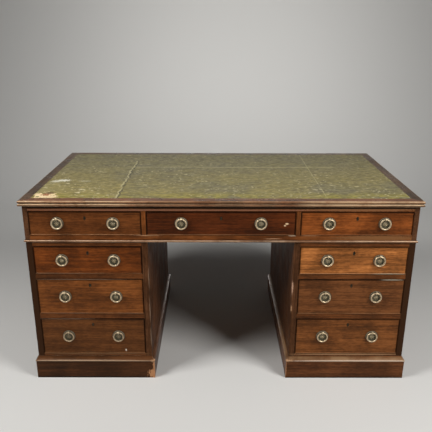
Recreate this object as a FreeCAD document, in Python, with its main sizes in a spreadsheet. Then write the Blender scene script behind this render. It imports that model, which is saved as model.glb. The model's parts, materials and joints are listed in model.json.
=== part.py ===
import FreeCAD, Part
import math
import os
import Sketcher
from types import SimpleNamespace

# A partners desk: a leather-lined top on a frieze of drawers, carried by two pedestals that stand
# on moulded plinths. Drawers fill the front; the back has its own frieze drawers and two cupboards.
# Millimetres. The origin is on the floor under the middle: X to the right, Y to the back, Z up.

DIMENSIONS = {
    # Carcase as a whole
    "carcase_depth": 815.0,
    "kneehole_width": 564.0,
    "overhang": 12.5,
    "partition": 16.0,
    "rail_depth": 45.0,
    "runner_width": 20.0,
    # Top
    "top_thickness": 22.0,
    "top_groove": 2.0,
    "border_width": 40.0,
    "leather_thickness": 1.5,
    # Frieze
    "frieze_end": 19.0,
    "upper_rail": 22.0,
    "lower_rail": 29.0,
    "muntin": 18.0,
    "frieze_side_opening": 428.0,
    "frieze_opening_height": 95.0,
    "bead_height": 8.0,
    "bead_flat": 1.5,
    # Pedestals
    "pedestal_opening": 420.0,
    "case_side": 24.0,
    "case_top": 18.0,
    "case_bottom": 13.0,
    "drawer_rail": 23.0,
    "upper_opening_height": 115.0,
    "middle_opening_height": 152.0,
    "lower_opening_height": 160.0,
    "drawer_bay": 470.0,
    # Plinths
    "plinth_height": 100.0,
    "plinth_seat": 10.0,
    "plinth_projection": 12.0,
    "plinth_cove": 17.0,
    "plinth_cove_radius": 26.0,
    "plinth_nosing": 3.0,
    "plinth_setback": 2.0,
    # Drawers
    "drawer_gap": 1.0,
    "slide_clearance": 0.3,
    "drawer_back_room": 10.0,
    "drawer_front": 20.0,
    "drawer_side": 10.0,
    "drawer_back": 10.0,
    "drawer_bottom": 8.0,
    "bottom_lift": 6.0,
    "bottom_groove": 5.0,
    "side_drop": 4.0,
    "dovetail_cover": 1.5,
    "pin_width": 6.0,
    "pin_flare": 2.5,
    "cock_bead": 3.0,
    "cock_bead_rebate": 4.0,
    "cock_bead_projection": 2.0,
    # Ring pulls
    "frieze_side_pulls": 212.0,
    "frieze_centre_pulls": 303.0,
    "pedestal_pulls": 202.0,
    "plate_radius": 24.5,
    "plate_floor": 1.4,
    "rim_radius": 1.8,
    "boss_radius": 12.0,
    "boss_height": 3.0,
    "ring_radius": 19.5,
    "wire_radius": 2.8,
    "ring_play": 0.6,
    "ring_gap": 2.2,
    "eye_inset": 6.0,
    "eye_wall": 2.1,
    "eye_width": 6.4,
    "shank_radius": 2.2,
    "shank_clearance": 0.1,
    "shank_end": 1.5,
    "nut_radius": 5.5,
    "nut_height": 4.0,
    # Locks and keyholes
    "keyhole_drop": 25.0,
    "keyhole_radius": 2.4,
    "keyhole_slot": 2.4,
    "keyhole_length": 8.0,
    "escutcheon_wall": 1.1,
    "escutcheon_depth": 3.0,
    "lock_width": 44.0,
    "lock_height": 36.0,
    "lock_depth": 9.0,
    # Cupboard doors and their hinges
    "door_gap": 1.5,
    "door_thickness": 20.0,
    "door_stile": 62.0,
    "door_rail": 66.0,
    "panel_thickness": 8.0,
    "panel_tongue": 7.0,
    "field_margin": 4.0,
    "field_bevel": 28.0,
    "field_height": 5.0,
    "hinge_height": 64.0,
    "hinge_offset": 50.0,
    "leaf_width": 16.0,
    "leaf_thickness": 2.0,
    "knuckle_radius": 4.0,
    "knuckle_clearance": 0.3,
    "hinge_pin_radius": 1.6,
    "hinge_pin_clearance": 0.05,
}
FRIEZE_TAILS = 3
PEDESTAL_TAILS = 4
NUT_SIDES = 6
KNUCKLES = 5
TOP_BEADS = 2
FULL_TURN = 360.0
HALF_TURN = 180.0
QUARTER_TURN = 90.0
X_AXIS = FreeCAD.Vector(1, 0, 0)
Z_AXIS = FreeCAD.Vector(0, 0, 1)
LEFT_AND_RIGHT = {"left": -1, "right": 1}
ORIGIN_POINT = (-1, 1)
ACROSS_AXIS = -1
UP_AXIS = -2
START, END, CENTRE = 1, 2, 3

doc = FreeCAD.newDocument("PartnersDesk")
sheet = doc.addObject("Spreadsheet::Sheet", "Sizes")
for row, (alias, number) in enumerate(DIMENSIONS.items(), start=1):
    sheet.set(f"A{row}", alias.replace("_", " "))
    sheet.set(f"B{row}", str(number))
    sheet.setAlias(f"B{row}", alias)
doc.recompute()


class Measure:
    """A length with the sheet formula that drives it and its present value."""

    def __init__(self, formula, value):
        self.formula = formula
        self.value = value

    def __add__(self, other):
        other = as_measure(other)
        return Measure(f"({self.formula} + {other.formula})", self.value + other.value)

    def __sub__(self, other):
        other = as_measure(other)
        return Measure(f"({self.formula} - {other.formula})", self.value - other.value)

    def __mul__(self, other):
        other = as_measure(other)
        return Measure(f"({self.formula} * {other.formula})", self.value * other.value)

    def __truediv__(self, other):
        other = as_measure(other)
        return Measure(f"({self.formula} / {other.formula})", self.value / other.value)

    def __rmul__(self, other):
        return as_measure(other) * self

    def __neg__(self):
        return ZERO - self


def root(measure):
    """The square root of a measure."""
    return Measure(f"sqrt({measure.formula})", math.sqrt(measure.value))


def as_measure(number):
    """Give a plain number the same form as a size from the sheet."""
    if isinstance(number, Measure):
        return number
    if number < 0:
        return Measure(f"(0 - {-number})", number)
    return Measure(str(number), number)


ZERO = as_measure(0)
size = SimpleNamespace(**{alias: Measure(f"Sizes.{alias}", number) for alias, number in DIMENSIONS.items()})

# Sizes that follow from the driving ones
pedestal_width = size.pedestal_opening + 2 * size.case_side
carcase_width = 2 * pedestal_width + size.kneehole_width
pedestal_middle = size.kneehole_width / 2 + pedestal_width / 2
top_width = carcase_width + 2 * size.overhang
top_depth = size.carcase_depth + 2 * size.overhang
frieze_length = carcase_width - 2 * size.frieze_end
frieze_centre_opening = frieze_length - 2 * size.frieze_side_opening - 2 * size.muntin
divider_middle = frieze_centre_opening / 2 + size.muntin / 2
frieze_side_middle = divider_middle + size.muntin / 2 + size.frieze_side_opening / 2
frieze_bay = (size.carcase_depth - size.partition) / 2
plinth_thickness = size.plinth_projection + size.plinth_seat
bead_projection = size.bead_flat + size.bead_height / 2
tail_start = size.cock_bead_rebate + size.dovetail_cover

lower_floor = size.plinth_height + size.case_bottom
middle_floor = lower_floor + size.lower_opening_height + size.drawer_rail
upper_floor = middle_floor + size.middle_opening_height + size.drawer_rail
case_ceiling = upper_floor + size.upper_opening_height
frieze_base = case_ceiling + size.case_top
frieze_floor = frieze_base + size.lower_rail
frieze_ceiling = frieze_floor + size.frieze_opening_height
top_base = frieze_ceiling + size.upper_rail
pedestal_height = frieze_base - size.plinth_height
frieze_height = top_base - frieze_base
cupboard_height = case_ceiling - lower_floor

front_face = -size.carcase_depth / 2
back_face = size.carcase_depth / 2

eye_hole_radius = size.wire_radius + size.ring_play
eye_radius = eye_hole_radius + size.eye_wall
eye_reach = size.plate_floor + size.rim_radius + size.wire_radius + size.ring_gap
eye_rise = size.plate_radius - size.eye_inset


def bind(piece, prop, measure):
    """Drive one property of a piece from the sheet."""
    piece.setExpression(prop, as_measure(measure).formula)


def place(piece, position, rotation=FreeCAD.Rotation()):
    """Set a piece at a driven position, turned by a fixed rotation."""
    piece.Placement = FreeCAD.Placement(FreeCAD.Vector(), rotation)
    for axis, measure in zip("xyz", position):
        bind(piece, f"Placement.Base.{axis}", measure)
    return piece


def upright(degrees):
    """A turn about the vertical."""
    return FreeCAD.Rotation(Z_AXIS, degrees)


def board(name, lengths, middle_x, middle_y, bottom):
    """A plain board, given by its lengths, the middle of its plan and its underside."""
    piece = doc.addObject("Part::Box", name)
    for prop, measure in zip(("Length", "Width", "Height"), lengths):
        bind(piece, prop, measure)
    return place(piece, (middle_x - lengths[0] / 2, middle_y - lengths[1] / 2, bottom))


def rod(name, radius, length, position, rotation=FreeCAD.Rotation()):
    """A round rod that starts at a position and runs up unless it is turned."""
    piece = doc.addObject("Part::Cylinder", name)
    bind(piece, "Radius", radius)
    bind(piece, "Height", length)
    return place(piece, position, rotation)


def rod_inwards(name, radius, length, position):
    """A round rod that runs from a position towards the back."""
    return rod(name, radius, length, position, FreeCAD.Rotation(X_AXIS, -QUARTER_TURN))


def wedge(name, near, far):
    """A tapered block: near and far each hold low and high X, Y and Z, with Y as the one depth."""
    piece = doc.addObject("Part::Wedge", name)
    for prefix, ends in (("", near), ("2", far)):
        for axis in "XZ":
            bind(piece, f"{axis}{prefix}min", ends[axis][0])
            bind(piece, f"{axis}{prefix}max", ends[axis][1])
    bind(piece, "Ymin", near["Y"])
    bind(piece, "Ymax", far["Y"])
    return piece


def joined(name, pieces):
    """Several shapes made into one."""
    result = doc.addObject("Part::MultiFuse", name)
    result.Shapes = pieces
    return result


def cut(name, base, tool):
    """A shape with the room for another taken out of it."""
    result = doc.addObject("Part::Cut", name)
    result.Base = base
    result.Tool = tool
    return result


def shared(name, base, tool):
    """What two shapes have in common."""
    result = doc.addObject("Part::Common", name)
    result.Base = base
    result.Tool = tool
    return result


def group(name, pieces):
    """Separate solids kept together under one name."""
    result = doc.addObject("Part::Compound", name)
    result.Links = pieces
    return result


def hold_point(sketch, geometry, point, across, up):
    """Fix one point of a sketch at driven distances from its origin."""
    for kind, measure, axis in (("DistanceX", across, UP_AXIS), ("DistanceY", up, ACROSS_AXIS)):
        measure = as_measure(measure)
        if measure.value == 0:
            sketch.addConstraint(Sketcher.Constraint("PointOnObject", geometry, point, axis))
            continue
        index = sketch.addConstraint(
            Sketcher.Constraint(kind, *ORIGIN_POINT, geometry, point, measure.value))
        bind(sketch, f"Constraints[{index}]", measure)


def flat_vector(across, up):
    """A point of a sketch at the present sizes."""
    return FreeCAD.Vector(as_measure(across).value, as_measure(up).value, 0)


def outline_sketch(body, name, corners, arcs):
    """Draw a closed outline in a body's YZ plane.

    The corners are listed anticlockwise. arcs maps the number of a stretch to the middle of its arc,
    which bulges out or, where the middle lies outside the outline, is hollow. The rest are straight.
    """
    sketch = body.newObject("Sketcher::SketchObject", name)
    plane = next(item for item in body.Origin.OriginFeatures if item.Role == "YZ_Plane")
    sketch.AttachmentSupport = [(plane, "")]
    sketch.MapMode = "FlatFace"
    ends = []
    for number, corner in enumerate(corners):
        start = flat_vector(*corner)
        end = flat_vector(*corners[(number + 1) % len(corners)])
        ends.append((START, END))
        if number in arcs:
            middle = flat_vector(*arcs[number])
            circle = Part.Circle(middle, Z_AXIS, (start - middle).Length)
            if (start - middle).cross(end - middle).z < -Part.Precision.confusion():
                start, end = end, start
                ends[number] = (END, START)
            sketch.addGeometry(Part.ArcOfCircle(circle, circle.parameter(start), circle.parameter(end)))
        else:
            sketch.addGeometry(Part.LineSegment(start, end))
    for number, corner in enumerate(corners):
        following = (number + 1) % len(corners)
        sketch.addConstraint(
            Sketcher.Constraint("Coincident", number, ends[number][1], following, ends[following][0]))
        hold_point(sketch, number, ends[number][0], *corner)
    for number, (across, up) in arcs.items():
        if as_measure(up).value == 0:
            sketch.addConstraint(Sketcher.Constraint("PointOnObject", number, CENTRE, ACROSS_AXIS))
            continue
        chord = flat_vector(*corners[(number + 1) % len(corners)]) - flat_vector(*corners[number])
        lies_level = abs(chord.x) > abs(chord.y)
        kind, measure = ("DistanceY", up) if lies_level else ("DistanceX", across)
        index = sketch.addConstraint(
            Sketcher.Constraint(kind, *ORIGIN_POINT, number, CENTRE, as_measure(measure).value))
        bind(sketch, f"Constraints[{index}]", measure)
    return sketch


def moulding(name, corners, arcs, length):
    """A length of moulding along X: outer edge at Y zero, underside at Z zero."""
    body = doc.addObject("PartDesign::Body", name)
    sketch = outline_sketch(body, f"{name}_profile", corners, arcs)
    pad = body.newObject("PartDesign::Pad", f"{name}_run")
    pad.Profile = sketch
    pad.SideType = "Symmetric"
    bind(pad, "Length", length)
    return body


def mitred_frame(name, profile, width, depth, reach, height, middle, bottom):
    """Four lengths of one moulding, mitred round a rectangle that lies flat."""
    lengths = []
    runs = ((width, depth, 0, -1), (depth, width, 1, 0), (width, depth, 0, 1), (depth, width, -1, 0))
    for turns, (length, across, side_x, side_y) in enumerate(runs):
        mitre = wedge(
            f"{name}_mitre_{turns + 1}",
            {"X": (-length / 2, length / 2), "Y": 0, "Z": (0, height)},
            {"X": (reach - length / 2, length / 2 - reach), "Y": reach, "Z": (0, height)})
        piece = shared(f"{name}_length_{turns + 1}", profile, mitre)
        spot = (middle[0] + side_x * across / 2, middle[1] + side_y * across / 2, bottom)
        lengths.append(place(piece, spot, upright(turns * QUARTER_TURN)))
    return lengths


def make_top():
    """The core board, the moulded border round it and the leather let into it."""
    bead = (size.top_thickness - size.top_groove) / (2 * TOP_BEADS)
    lower_top = 2 * bead
    upper_bottom = lower_top + size.top_groove
    profile = moulding(
        "border_moulding",
        [(size.border_width, 0), (size.border_width, size.top_thickness), (bead, size.top_thickness),
         (bead, upper_bottom), (bead, lower_top), (bead, 0)],
        {2: (bead, upper_bottom + bead), 4: (bead, bead)},
        top_width)
    border = mitred_frame("border", profile, top_width, top_depth, size.border_width,
                          size.top_thickness, (ZERO, ZERO), top_base)
    panel_width = top_width - 2 * size.border_width
    panel_depth = top_depth - 2 * size.border_width
    core_thickness = size.top_thickness - size.leather_thickness
    core = board("top_core", (panel_width, panel_depth, core_thickness), ZERO, ZERO, top_base)
    leather = board("leather_sheet", (panel_width, panel_depth, size.leather_thickness),
                    ZERO, ZERO, top_base + core_thickness)
    return {"desk_top": group("desk_top", [core, *border]), "writing_leather": leather}


def make_frieze():
    """The frame round the frieze drawers, its dividers, runners and kickers, and the bead below it."""
    between_rails = size.carcase_depth - 2 * size.rail_depth
    divider_strip = size.muntin + 2 * size.runner_width
    pieces = []
    for side, hand in LEFT_AND_RIGHT.items():
        end_x = hand * (carcase_width / 2 - size.frieze_end / 2)
        strip_x = hand * (frieze_length / 2 - size.runner_width / 2)
        divider_x = hand * divider_middle
        pieces.append(board(f"{side}_frieze_end", (size.frieze_end, size.carcase_depth, frieze_height),
                            end_x, ZERO, frieze_base))
        pieces.append(board(f"{side}_divider",
                            (size.muntin, size.carcase_depth, size.frieze_opening_height),
                            divider_x, ZERO, frieze_floor))
        pieces.append(board(f"{side}_frieze_partition",
                            (size.frieze_side_opening, size.partition, size.frieze_opening_height),
                            hand * frieze_side_middle, ZERO, frieze_floor))
        for use, height, bottom in (("runner", size.lower_rail, frieze_base),
                                    ("kicker", size.upper_rail, frieze_ceiling)):
            pieces.append(board(f"{side}_end_{use}", (size.runner_width, between_rails, height),
                                strip_x, ZERO, bottom))
            pieces.append(board(f"{side}_divider_{use}", (divider_strip, between_rails, height),
                                divider_x, ZERO, bottom))
    pieces.append(board("centre_frieze_partition",
                        (frieze_centre_opening, size.partition, size.frieze_opening_height),
                        ZERO, ZERO, frieze_floor))
    for face, direction in (("front", -1), ("back", 1)):
        rail_y = direction * (size.carcase_depth / 2 - size.rail_depth / 2)
        pieces.append(board(f"{face}_lower_rail", (frieze_length, size.rail_depth, size.lower_rail),
                            ZERO, rail_y, frieze_base))
        pieces.append(board(f"{face}_upper_rail", (frieze_length, size.rail_depth, size.upper_rail),
                            ZERO, rail_y, frieze_ceiling))
    nose = size.bead_height / 2
    bead_width = carcase_width + 2 * bead_projection
    profile = moulding(
        "bead_moulding",
        [(bead_projection, 0), (bead_projection, size.bead_height), (nose, size.bead_height), (nose, 0)],
        {2: (nose, nose)}, bead_width)
    bead = mitred_frame("frieze_bead", profile, bead_width, size.carcase_depth + 2 * bead_projection,
                        bead_projection, size.bead_height, (ZERO, ZERO), frieze_base)
    return {"frieze_case": group("frieze_case", pieces), "frieze_bead": group("frieze_bead", bead)}


def make_pedestal(side, hand, leaves):
    """One pedestal's case: sides, top and bottom, the partition, and rails and runners for the drawers."""
    middle = hand * pedestal_middle
    pieces = []
    for name, offset in (("outer", 1), ("inner", -1)):
        side_x = middle + hand * offset * (pedestal_width / 2 - size.case_side / 2)
        blank = board(f"{side}_{name}_side", (size.case_side, size.carcase_depth, pedestal_height),
                      side_x, ZERO, size.plinth_height)
        if name == "outer":
            blank = cut(f"{side}_hinged_side", blank, group(f"{side}_case_mortises", leaves))
        pieces.append(blank)
    pieces.append(board(f"{side}_case_bottom",
                        (size.pedestal_opening, size.carcase_depth, size.case_bottom),
                        middle, ZERO, size.plinth_height))
    pieces.append(board(f"{side}_case_top", (size.pedestal_opening, size.carcase_depth, size.case_top),
                        middle, ZERO, case_ceiling))
    pieces.append(board(f"{side}_partition", (size.pedestal_opening, size.partition, cupboard_height),
                        middle, front_face + size.drawer_bay + size.partition / 2, lower_floor))
    runner_length = size.drawer_bay - size.rail_depth
    for level, floor in (("middle", middle_floor), ("upper", upper_floor)):
        pieces.append(board(f"{side}_{level}_rail",
                            (size.pedestal_opening, size.rail_depth, size.drawer_rail),
                            middle, front_face + size.rail_depth / 2, floor - size.drawer_rail))
        for name, offset in (("left", -1), ("right", 1)):
            runner_x = middle + offset * (size.pedestal_opening / 2 - size.runner_width / 2)
            pieces.append(board(f"{side}_{level}_{name}_runner",
                                (size.runner_width, runner_length, size.drawer_rail),
                                runner_x, front_face + size.rail_depth + runner_length / 2,
                                floor - size.drawer_rail))
    return group(f"{side}_pedestal_case", pieces)


def make_plinths():
    """Mitred plinth boards under both pedestals, each with a hollow top edge down to a square nosing."""
    width = pedestal_width + 2 * size.plinth_projection
    depth = size.carcase_depth + 2 * size.plinth_projection
    shoulder = size.plinth_height - size.plinth_cove
    underside = shoulder - size.plinth_nosing
    span = size.plinth_projection * size.plinth_projection + size.plinth_cove * size.plinth_cove
    lean = root(size.plinth_cove_radius * size.plinth_cove_radius / span - as_measure(0.25))
    profile = moulding(
        "plinth_moulding",
        [(size.plinth_setback, 0), (plinth_thickness, 0), (plinth_thickness, size.plinth_height),
         (size.plinth_projection, size.plinth_height), (0, shoulder), (0, underside),
         (size.plinth_setback, underside)],
        {3: (size.plinth_projection / 2 - size.plinth_cove * lean,
             size.plinth_height - size.plinth_cove / 2 + size.plinth_projection * lean)}, depth)
    boards = []
    for side, hand in LEFT_AND_RIGHT.items():
        boards += mitred_frame(f"{side}_plinth", profile, width, depth, plinth_thickness,
                               size.plinth_height, (hand * pedestal_middle, ZERO), ZERO)
    return group("plinths", boards)


def make_escutcheon():
    """The keyhole liner, with the bore at the origin, and the hole that it lines."""
    def keyhole(name, wall, depth):
        bore = rod_inwards(f"{name}_bore", size.keyhole_radius + wall, depth,
                           (ZERO, ZERO, ZERO))
        slot = board(f"{name}_slot", (size.keyhole_slot + 2 * wall, depth, size.keyhole_length + wall),
                     ZERO, depth / 2, -size.keyhole_length - wall)
        return joined(name, [bore, slot])
    outer = keyhole("liner_outside", size.escutcheon_wall, size.escutcheon_depth)
    inner = keyhole("liner_inside", ZERO, size.drawer_front - size.lock_depth)
    return cut("escutcheon_liner", outer, inner), joined("keyhole_room", [outer, inner])


def make_plate():
    """The round back plate of a ring pull: a raised rim and a domed boss, drilled for the eye bolt."""
    body = doc.addObject("PartDesign::Body", "plate_turning")
    floor = size.plate_floor
    boss_top = floor + size.boss_height
    boss_curve = (size.boss_radius * size.boss_radius / size.boss_height + size.boss_height) / 2
    rim_middle = size.plate_radius - size.rim_radius
    sketch = outline_sketch(
        body, "plate_profile",
        [(0, 0), (boss_top, 0), (floor, size.boss_radius), (floor, rim_middle - size.rim_radius),
         (floor, size.plate_radius), (0, size.plate_radius)],
        {1: (boss_top - boss_curve, 0), 3: (floor, rim_middle)})
    turning = body.newObject("PartDesign::Revolution", "plate_turn")
    turning.Profile = sketch
    turning.ReferenceAxis = (sketch, ["H_Axis"])
    turning.Angle = FULL_TURN
    faced = place(group("plate_faced", [body]), (ZERO, ZERO, ZERO), upright(HALF_TURN))
    drill = rod_inwards("plate_drill", size.shank_radius + size.shank_clearance, 2 * eye_reach,
                        (ZERO, -eye_reach, eye_rise))
    return cut("ring_pull_plate", faced, drill)


def make_eye_bolt():
    """The post that the ring hangs in: a ball with an eye through it, on a shank that takes the nut."""
    ball = doc.addObject("Part::Sphere", "eye_ball")
    bind(ball, "Radius", eye_radius)
    place(ball, (ZERO, -eye_reach, eye_rise))
    cheek_room = 3 * eye_radius
    cheeks = board("eye_cheeks", (size.eye_width, cheek_room, cheek_room),
                   ZERO, -eye_reach, eye_rise - cheek_room / 2)
    head = shared("eye_head", ball, cheeks)
    shank_length = eye_reach + size.drawer_front + size.nut_height + size.shank_end
    shank = rod_inwards("eye_shank", size.shank_radius, shank_length, (ZERO, -eye_reach, eye_rise))
    eye = rod("eye_hole", eye_hole_radius, 2 * size.eye_width, (-size.eye_width, -eye_reach, eye_rise),
              FreeCAD.Rotation(FreeCAD.Vector(0, 1, 0), QUARTER_TURN))
    return cut("eye_bolt", joined("eye_bolt_blank", [head, shank]), eye)


def make_nut():
    """The six-sided nut that draws the eye bolt tight behind the drawer front."""
    blank = doc.addObject("Part::Prism", "nut_blank")
    blank.Polygon = NUT_SIDES
    bind(blank, "Circumradius", size.nut_radius)
    bind(blank, "Height", size.nut_height)
    place(blank, (ZERO, size.drawer_front, eye_rise), FreeCAD.Rotation(X_AXIS, -QUARTER_TURN))
    drill = rod_inwards("nut_drill", size.shank_radius + size.shank_clearance, 2 * size.nut_height,
                        (ZERO, size.drawer_front - size.nut_height / 2, eye_rise))
    return cut("eye_bolt_nut", blank, drill)


def moved(name, piece, across, inwards, up, rotation=FreeCAD.Rotation()):
    """A copy of a fitting at another place."""
    return place(group(name, [piece]), (as_measure(across), as_measure(inwards), as_measure(up)), rotation)


def make_drawer_kind(kind, opening_width, opening_height, bay, pulls, tails, fittings):
    """The wooden pieces and the brass of one kind of drawer, at the middle of its opening's lower edge."""
    lift = size.slide_clearance
    width = opening_width - 2 * size.drawer_gap
    height = opening_height - size.drawer_gap - lift
    length = bay - size.drawer_back_room
    side_height = height - size.side_drop
    side_start = size.drawer_front
    side_length = length - size.drawer_front
    inside = width - 2 * size.drawer_side

    bottom_start = size.drawer_front - size.bottom_groove
    bottom_length = length - bottom_start
    bottom = board(f"{kind}_bottom", (inside + 2 * size.bottom_groove, bottom_length, size.drawer_bottom),
                   ZERO, bottom_start + bottom_length / 2, lift + size.bottom_lift)
    back_bottom = lift + size.bottom_lift + size.drawer_bottom
    back = board(f"{kind}_back", (inside, size.drawer_back, lift + side_height - back_bottom),
                 ZERO, length - size.drawer_back / 2, back_bottom)

    pitch = side_height / tails
    tail_end = pitch - size.pin_width
    tail_root = tail_end - 2 * size.pin_flare
    sides = []
    for name, hand in LEFT_AND_RIGHT.items():
        side_x = hand * (width / 2 - size.drawer_side / 2)
        across = (side_x - size.drawer_side / 2, side_x + size.drawer_side / 2)
        shapes = [board(f"{kind}_{name}_run", (size.drawer_side, side_length, side_height),
                        side_x, side_start + side_length / 2, lift)]
        for number in range(tails):
            middle = lift + number * pitch + pitch / 2
            broad = (middle - tail_end / 2, middle + tail_end / 2)
            narrow = (middle - tail_root / 2, middle + tail_root / 2)
            shapes.append(wedge(f"{kind}_{name}_tail_{number + 1}",
                                {"X": across, "Y": tail_start, "Z": broad},
                                {"X": across, "Y": side_start, "Z": narrow}))
        sides.append(cut(f"{kind}_{name}_side", joined(f"{kind}_{name}_side_blank", shapes), bottom))

    bead_frame = mitred_frame(f"{kind}_cock_bead", fittings.cock_bead_profile, width, height,
                              size.cock_bead, size.cock_bead_rebate + size.cock_bead_projection,
                              (ZERO, ZERO), ZERO)
    standing = FreeCAD.Rotation(X_AXIS, QUARTER_TURN)
    beads = [moved(f"{kind}_cock_bead_{number}", piece, ZERO, size.cock_bead_rebate, lift + height / 2,
                   standing)
             for number, piece in enumerate(bead_frame, start=1)]

    keyhole_z = opening_height - size.keyhole_drop
    lock = board(f"{kind}_lock", (size.lock_width, size.lock_depth, size.lock_height),
                 ZERO, size.drawer_front - size.lock_depth / 2, keyhole_z - size.lock_height / 2)
    brass = [lock, moved(f"{kind}_escutcheon", fittings.escutcheon, ZERO, ZERO, keyhole_z)]
    rooms = [*sides, bottom, *beads, lock,
             moved(f"{kind}_keyhole_room", fittings.keyhole_room, ZERO, ZERO, keyhole_z)]
    pull_z = opening_height / 2
    for name, hand in LEFT_AND_RIGHT.items():
        pull_x = hand * pulls / 2
        for part in ("plate", "eye_bolt", "nut"):
            brass.append(moved(f"{kind}_{name}_{part}", getattr(fittings, part), pull_x, ZERO, pull_z))
        rooms.append(rod_inwards(f"{kind}_{name}_shank_hole", size.shank_radius + size.shank_clearance,
                                 size.drawer_front, (pull_x, ZERO, pull_z + eye_rise)))

    blank = board(f"{kind}_front_blank", (width, size.drawer_front, height),
                  ZERO, size.drawer_front / 2, lift)
    front = cut(f"{kind}_front", blank, joined(f"{kind}_front_rooms", rooms))
    return SimpleNamespace(wood=[front, *sides, back, bottom, *beads], brass=brass, pulls=pulls,
                           pull_z=pull_z)


def make_drawers():
    """All drawers with their brass and rings, each set at its own opening."""
    nose = size.cock_bead / 2
    reach = size.cock_bead_rebate + size.cock_bead_projection
    profile = moulding(
        "cock_bead_moulding",
        [(0, 0), (size.cock_bead, 0), (size.cock_bead, reach - nose), (0, reach - nose)],
        {2: (nose, reach - nose)}, carcase_width)
    escutcheon, keyhole_room = make_escutcheon()
    fittings = SimpleNamespace(cock_bead_profile=profile, escutcheon=escutcheon, keyhole_room=keyhole_room,
                               plate=make_plate(), eye_bolt=make_eye_bolt(), nut=make_nut())
    kinds = {}
    frieze = (size.frieze_opening_height, frieze_bay)
    kinds["frieze_side"] = make_drawer_kind("frieze_side", size.frieze_side_opening, *frieze,
                                            size.frieze_side_pulls, FRIEZE_TAILS, fittings)
    kinds["frieze_centre"] = make_drawer_kind("frieze_centre", frieze_centre_opening, *frieze,
                                              size.frieze_centre_pulls, FRIEZE_TAILS, fittings)
    for level, opening_height in (("upper", size.upper_opening_height),
                                  ("middle", size.middle_opening_height),
                                  ("lower", size.lower_opening_height)):
        kinds[level] = make_drawer_kind(level, size.pedestal_opening, opening_height, size.drawer_bay,
                                        size.pedestal_pulls, PEDESTAL_TAILS, fittings)
    spots = []
    for face, y, turn in (("front", front_face, 0), ("back", back_face, HALF_TURN)):
        spots.append((f"{face}_left_frieze", "frieze_side", -frieze_side_middle, y, frieze_floor, turn))
        spots.append((f"{face}_centre_frieze", "frieze_centre", ZERO, y, frieze_floor, turn))
        spots.append((f"{face}_right_frieze", "frieze_side", frieze_side_middle, y, frieze_floor, turn))
    for side, hand in LEFT_AND_RIGHT.items():
        for level, floor in (("upper", upper_floor), ("middle", middle_floor), ("lower", lower_floor)):
            spots.append((f"{side}_{level}", level, hand * pedestal_middle, front_face, floor, 0))
    nodes = {}
    for name, kind, x, y, floor, turn in spots:
        pattern = kinds[kind]
        outwards = 1 if turn else -1
        for part, pieces in (("drawer", pattern.wood), ("brassware", pattern.brass)):
            node = group(f"{name}_{part}", pieces)
            nodes[node.Name] = place(node, (x, y, floor), upright(turn))
        for side, hand in LEFT_AND_RIGHT.items():
            ring = doc.addObject("Part::Torus", f"{name}_ring_{side}")
            bind(ring, "Radius1", size.ring_radius)
            bind(ring, "Radius2", size.wire_radius)
            spot = (x + hand * pattern.pulls / 2, y + outwards * eye_reach,
                    floor + pattern.pull_z + eye_rise - size.ring_radius)
            nodes[f"{name}_ring_{side}"] = place(ring, spot, FreeCAD.Rotation(X_AXIS, QUARTER_TURN))
    return nodes, fittings


def make_hinge(name, hand, bottom):
    """A butt hinge on one edge of a cupboard door: the case leaf with its pin, and the door leaf."""
    middle = hand * pedestal_middle
    case_edge = middle + hand * size.pedestal_opening / 2
    pin_x = case_edge - hand * size.door_gap / 2
    pin_y = back_face + size.knuckle_radius + size.knuckle_clearance
    tab_length = pin_y - back_face
    knuckle_pitch = size.hinge_height / KNUCKLES
    knuckle_length = knuckle_pitch - size.knuckle_clearance
    bore = rod(f"{name}_bore", size.hinge_pin_radius + size.hinge_pin_clearance, 2 * size.hinge_height,
               (pin_x, pin_y, bottom - size.hinge_height / 2))
    leaves = []
    mortises = []
    for leaf, first, offset in (("case", 0, 1), ("door", 1, -1)):
        face_x = case_edge if leaf == "case" else case_edge - hand * size.door_gap
        leaf_x = face_x + hand * offset * size.leaf_thickness / 2
        flap = board(f"{name}_{leaf}_flap", (size.leaf_thickness, size.leaf_width, size.hinge_height),
                     leaf_x, back_face - size.leaf_width / 2, bottom)
        shapes = [flap]
        for number in range(first, KNUCKLES, 2):
            start = bottom + number * knuckle_pitch + size.knuckle_clearance / 2
            shapes.append(rod(f"{name}_{leaf}_knuckle_{number}", size.knuckle_radius, knuckle_length,
                              (pin_x, pin_y, start)))
            shapes.append(board(f"{name}_{leaf}_tab_{number}",
                                (size.leaf_thickness, tab_length, knuckle_length),
                                leaf_x, back_face + tab_length / 2, start))
        leaves.append(cut(f"{name}_{leaf}_leaf", joined(f"{name}_{leaf}_leaf_blank", shapes), bore))
        mortises.append(flap)
    pin = rod(f"{name}_pin", size.hinge_pin_radius, size.hinge_height, (pin_x, pin_y, bottom))
    return SimpleNamespace(case=[leaves[0], pin], door=leaves[1], case_mortise=mortises[0],
                           door_mortise=mortises[1])


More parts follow.
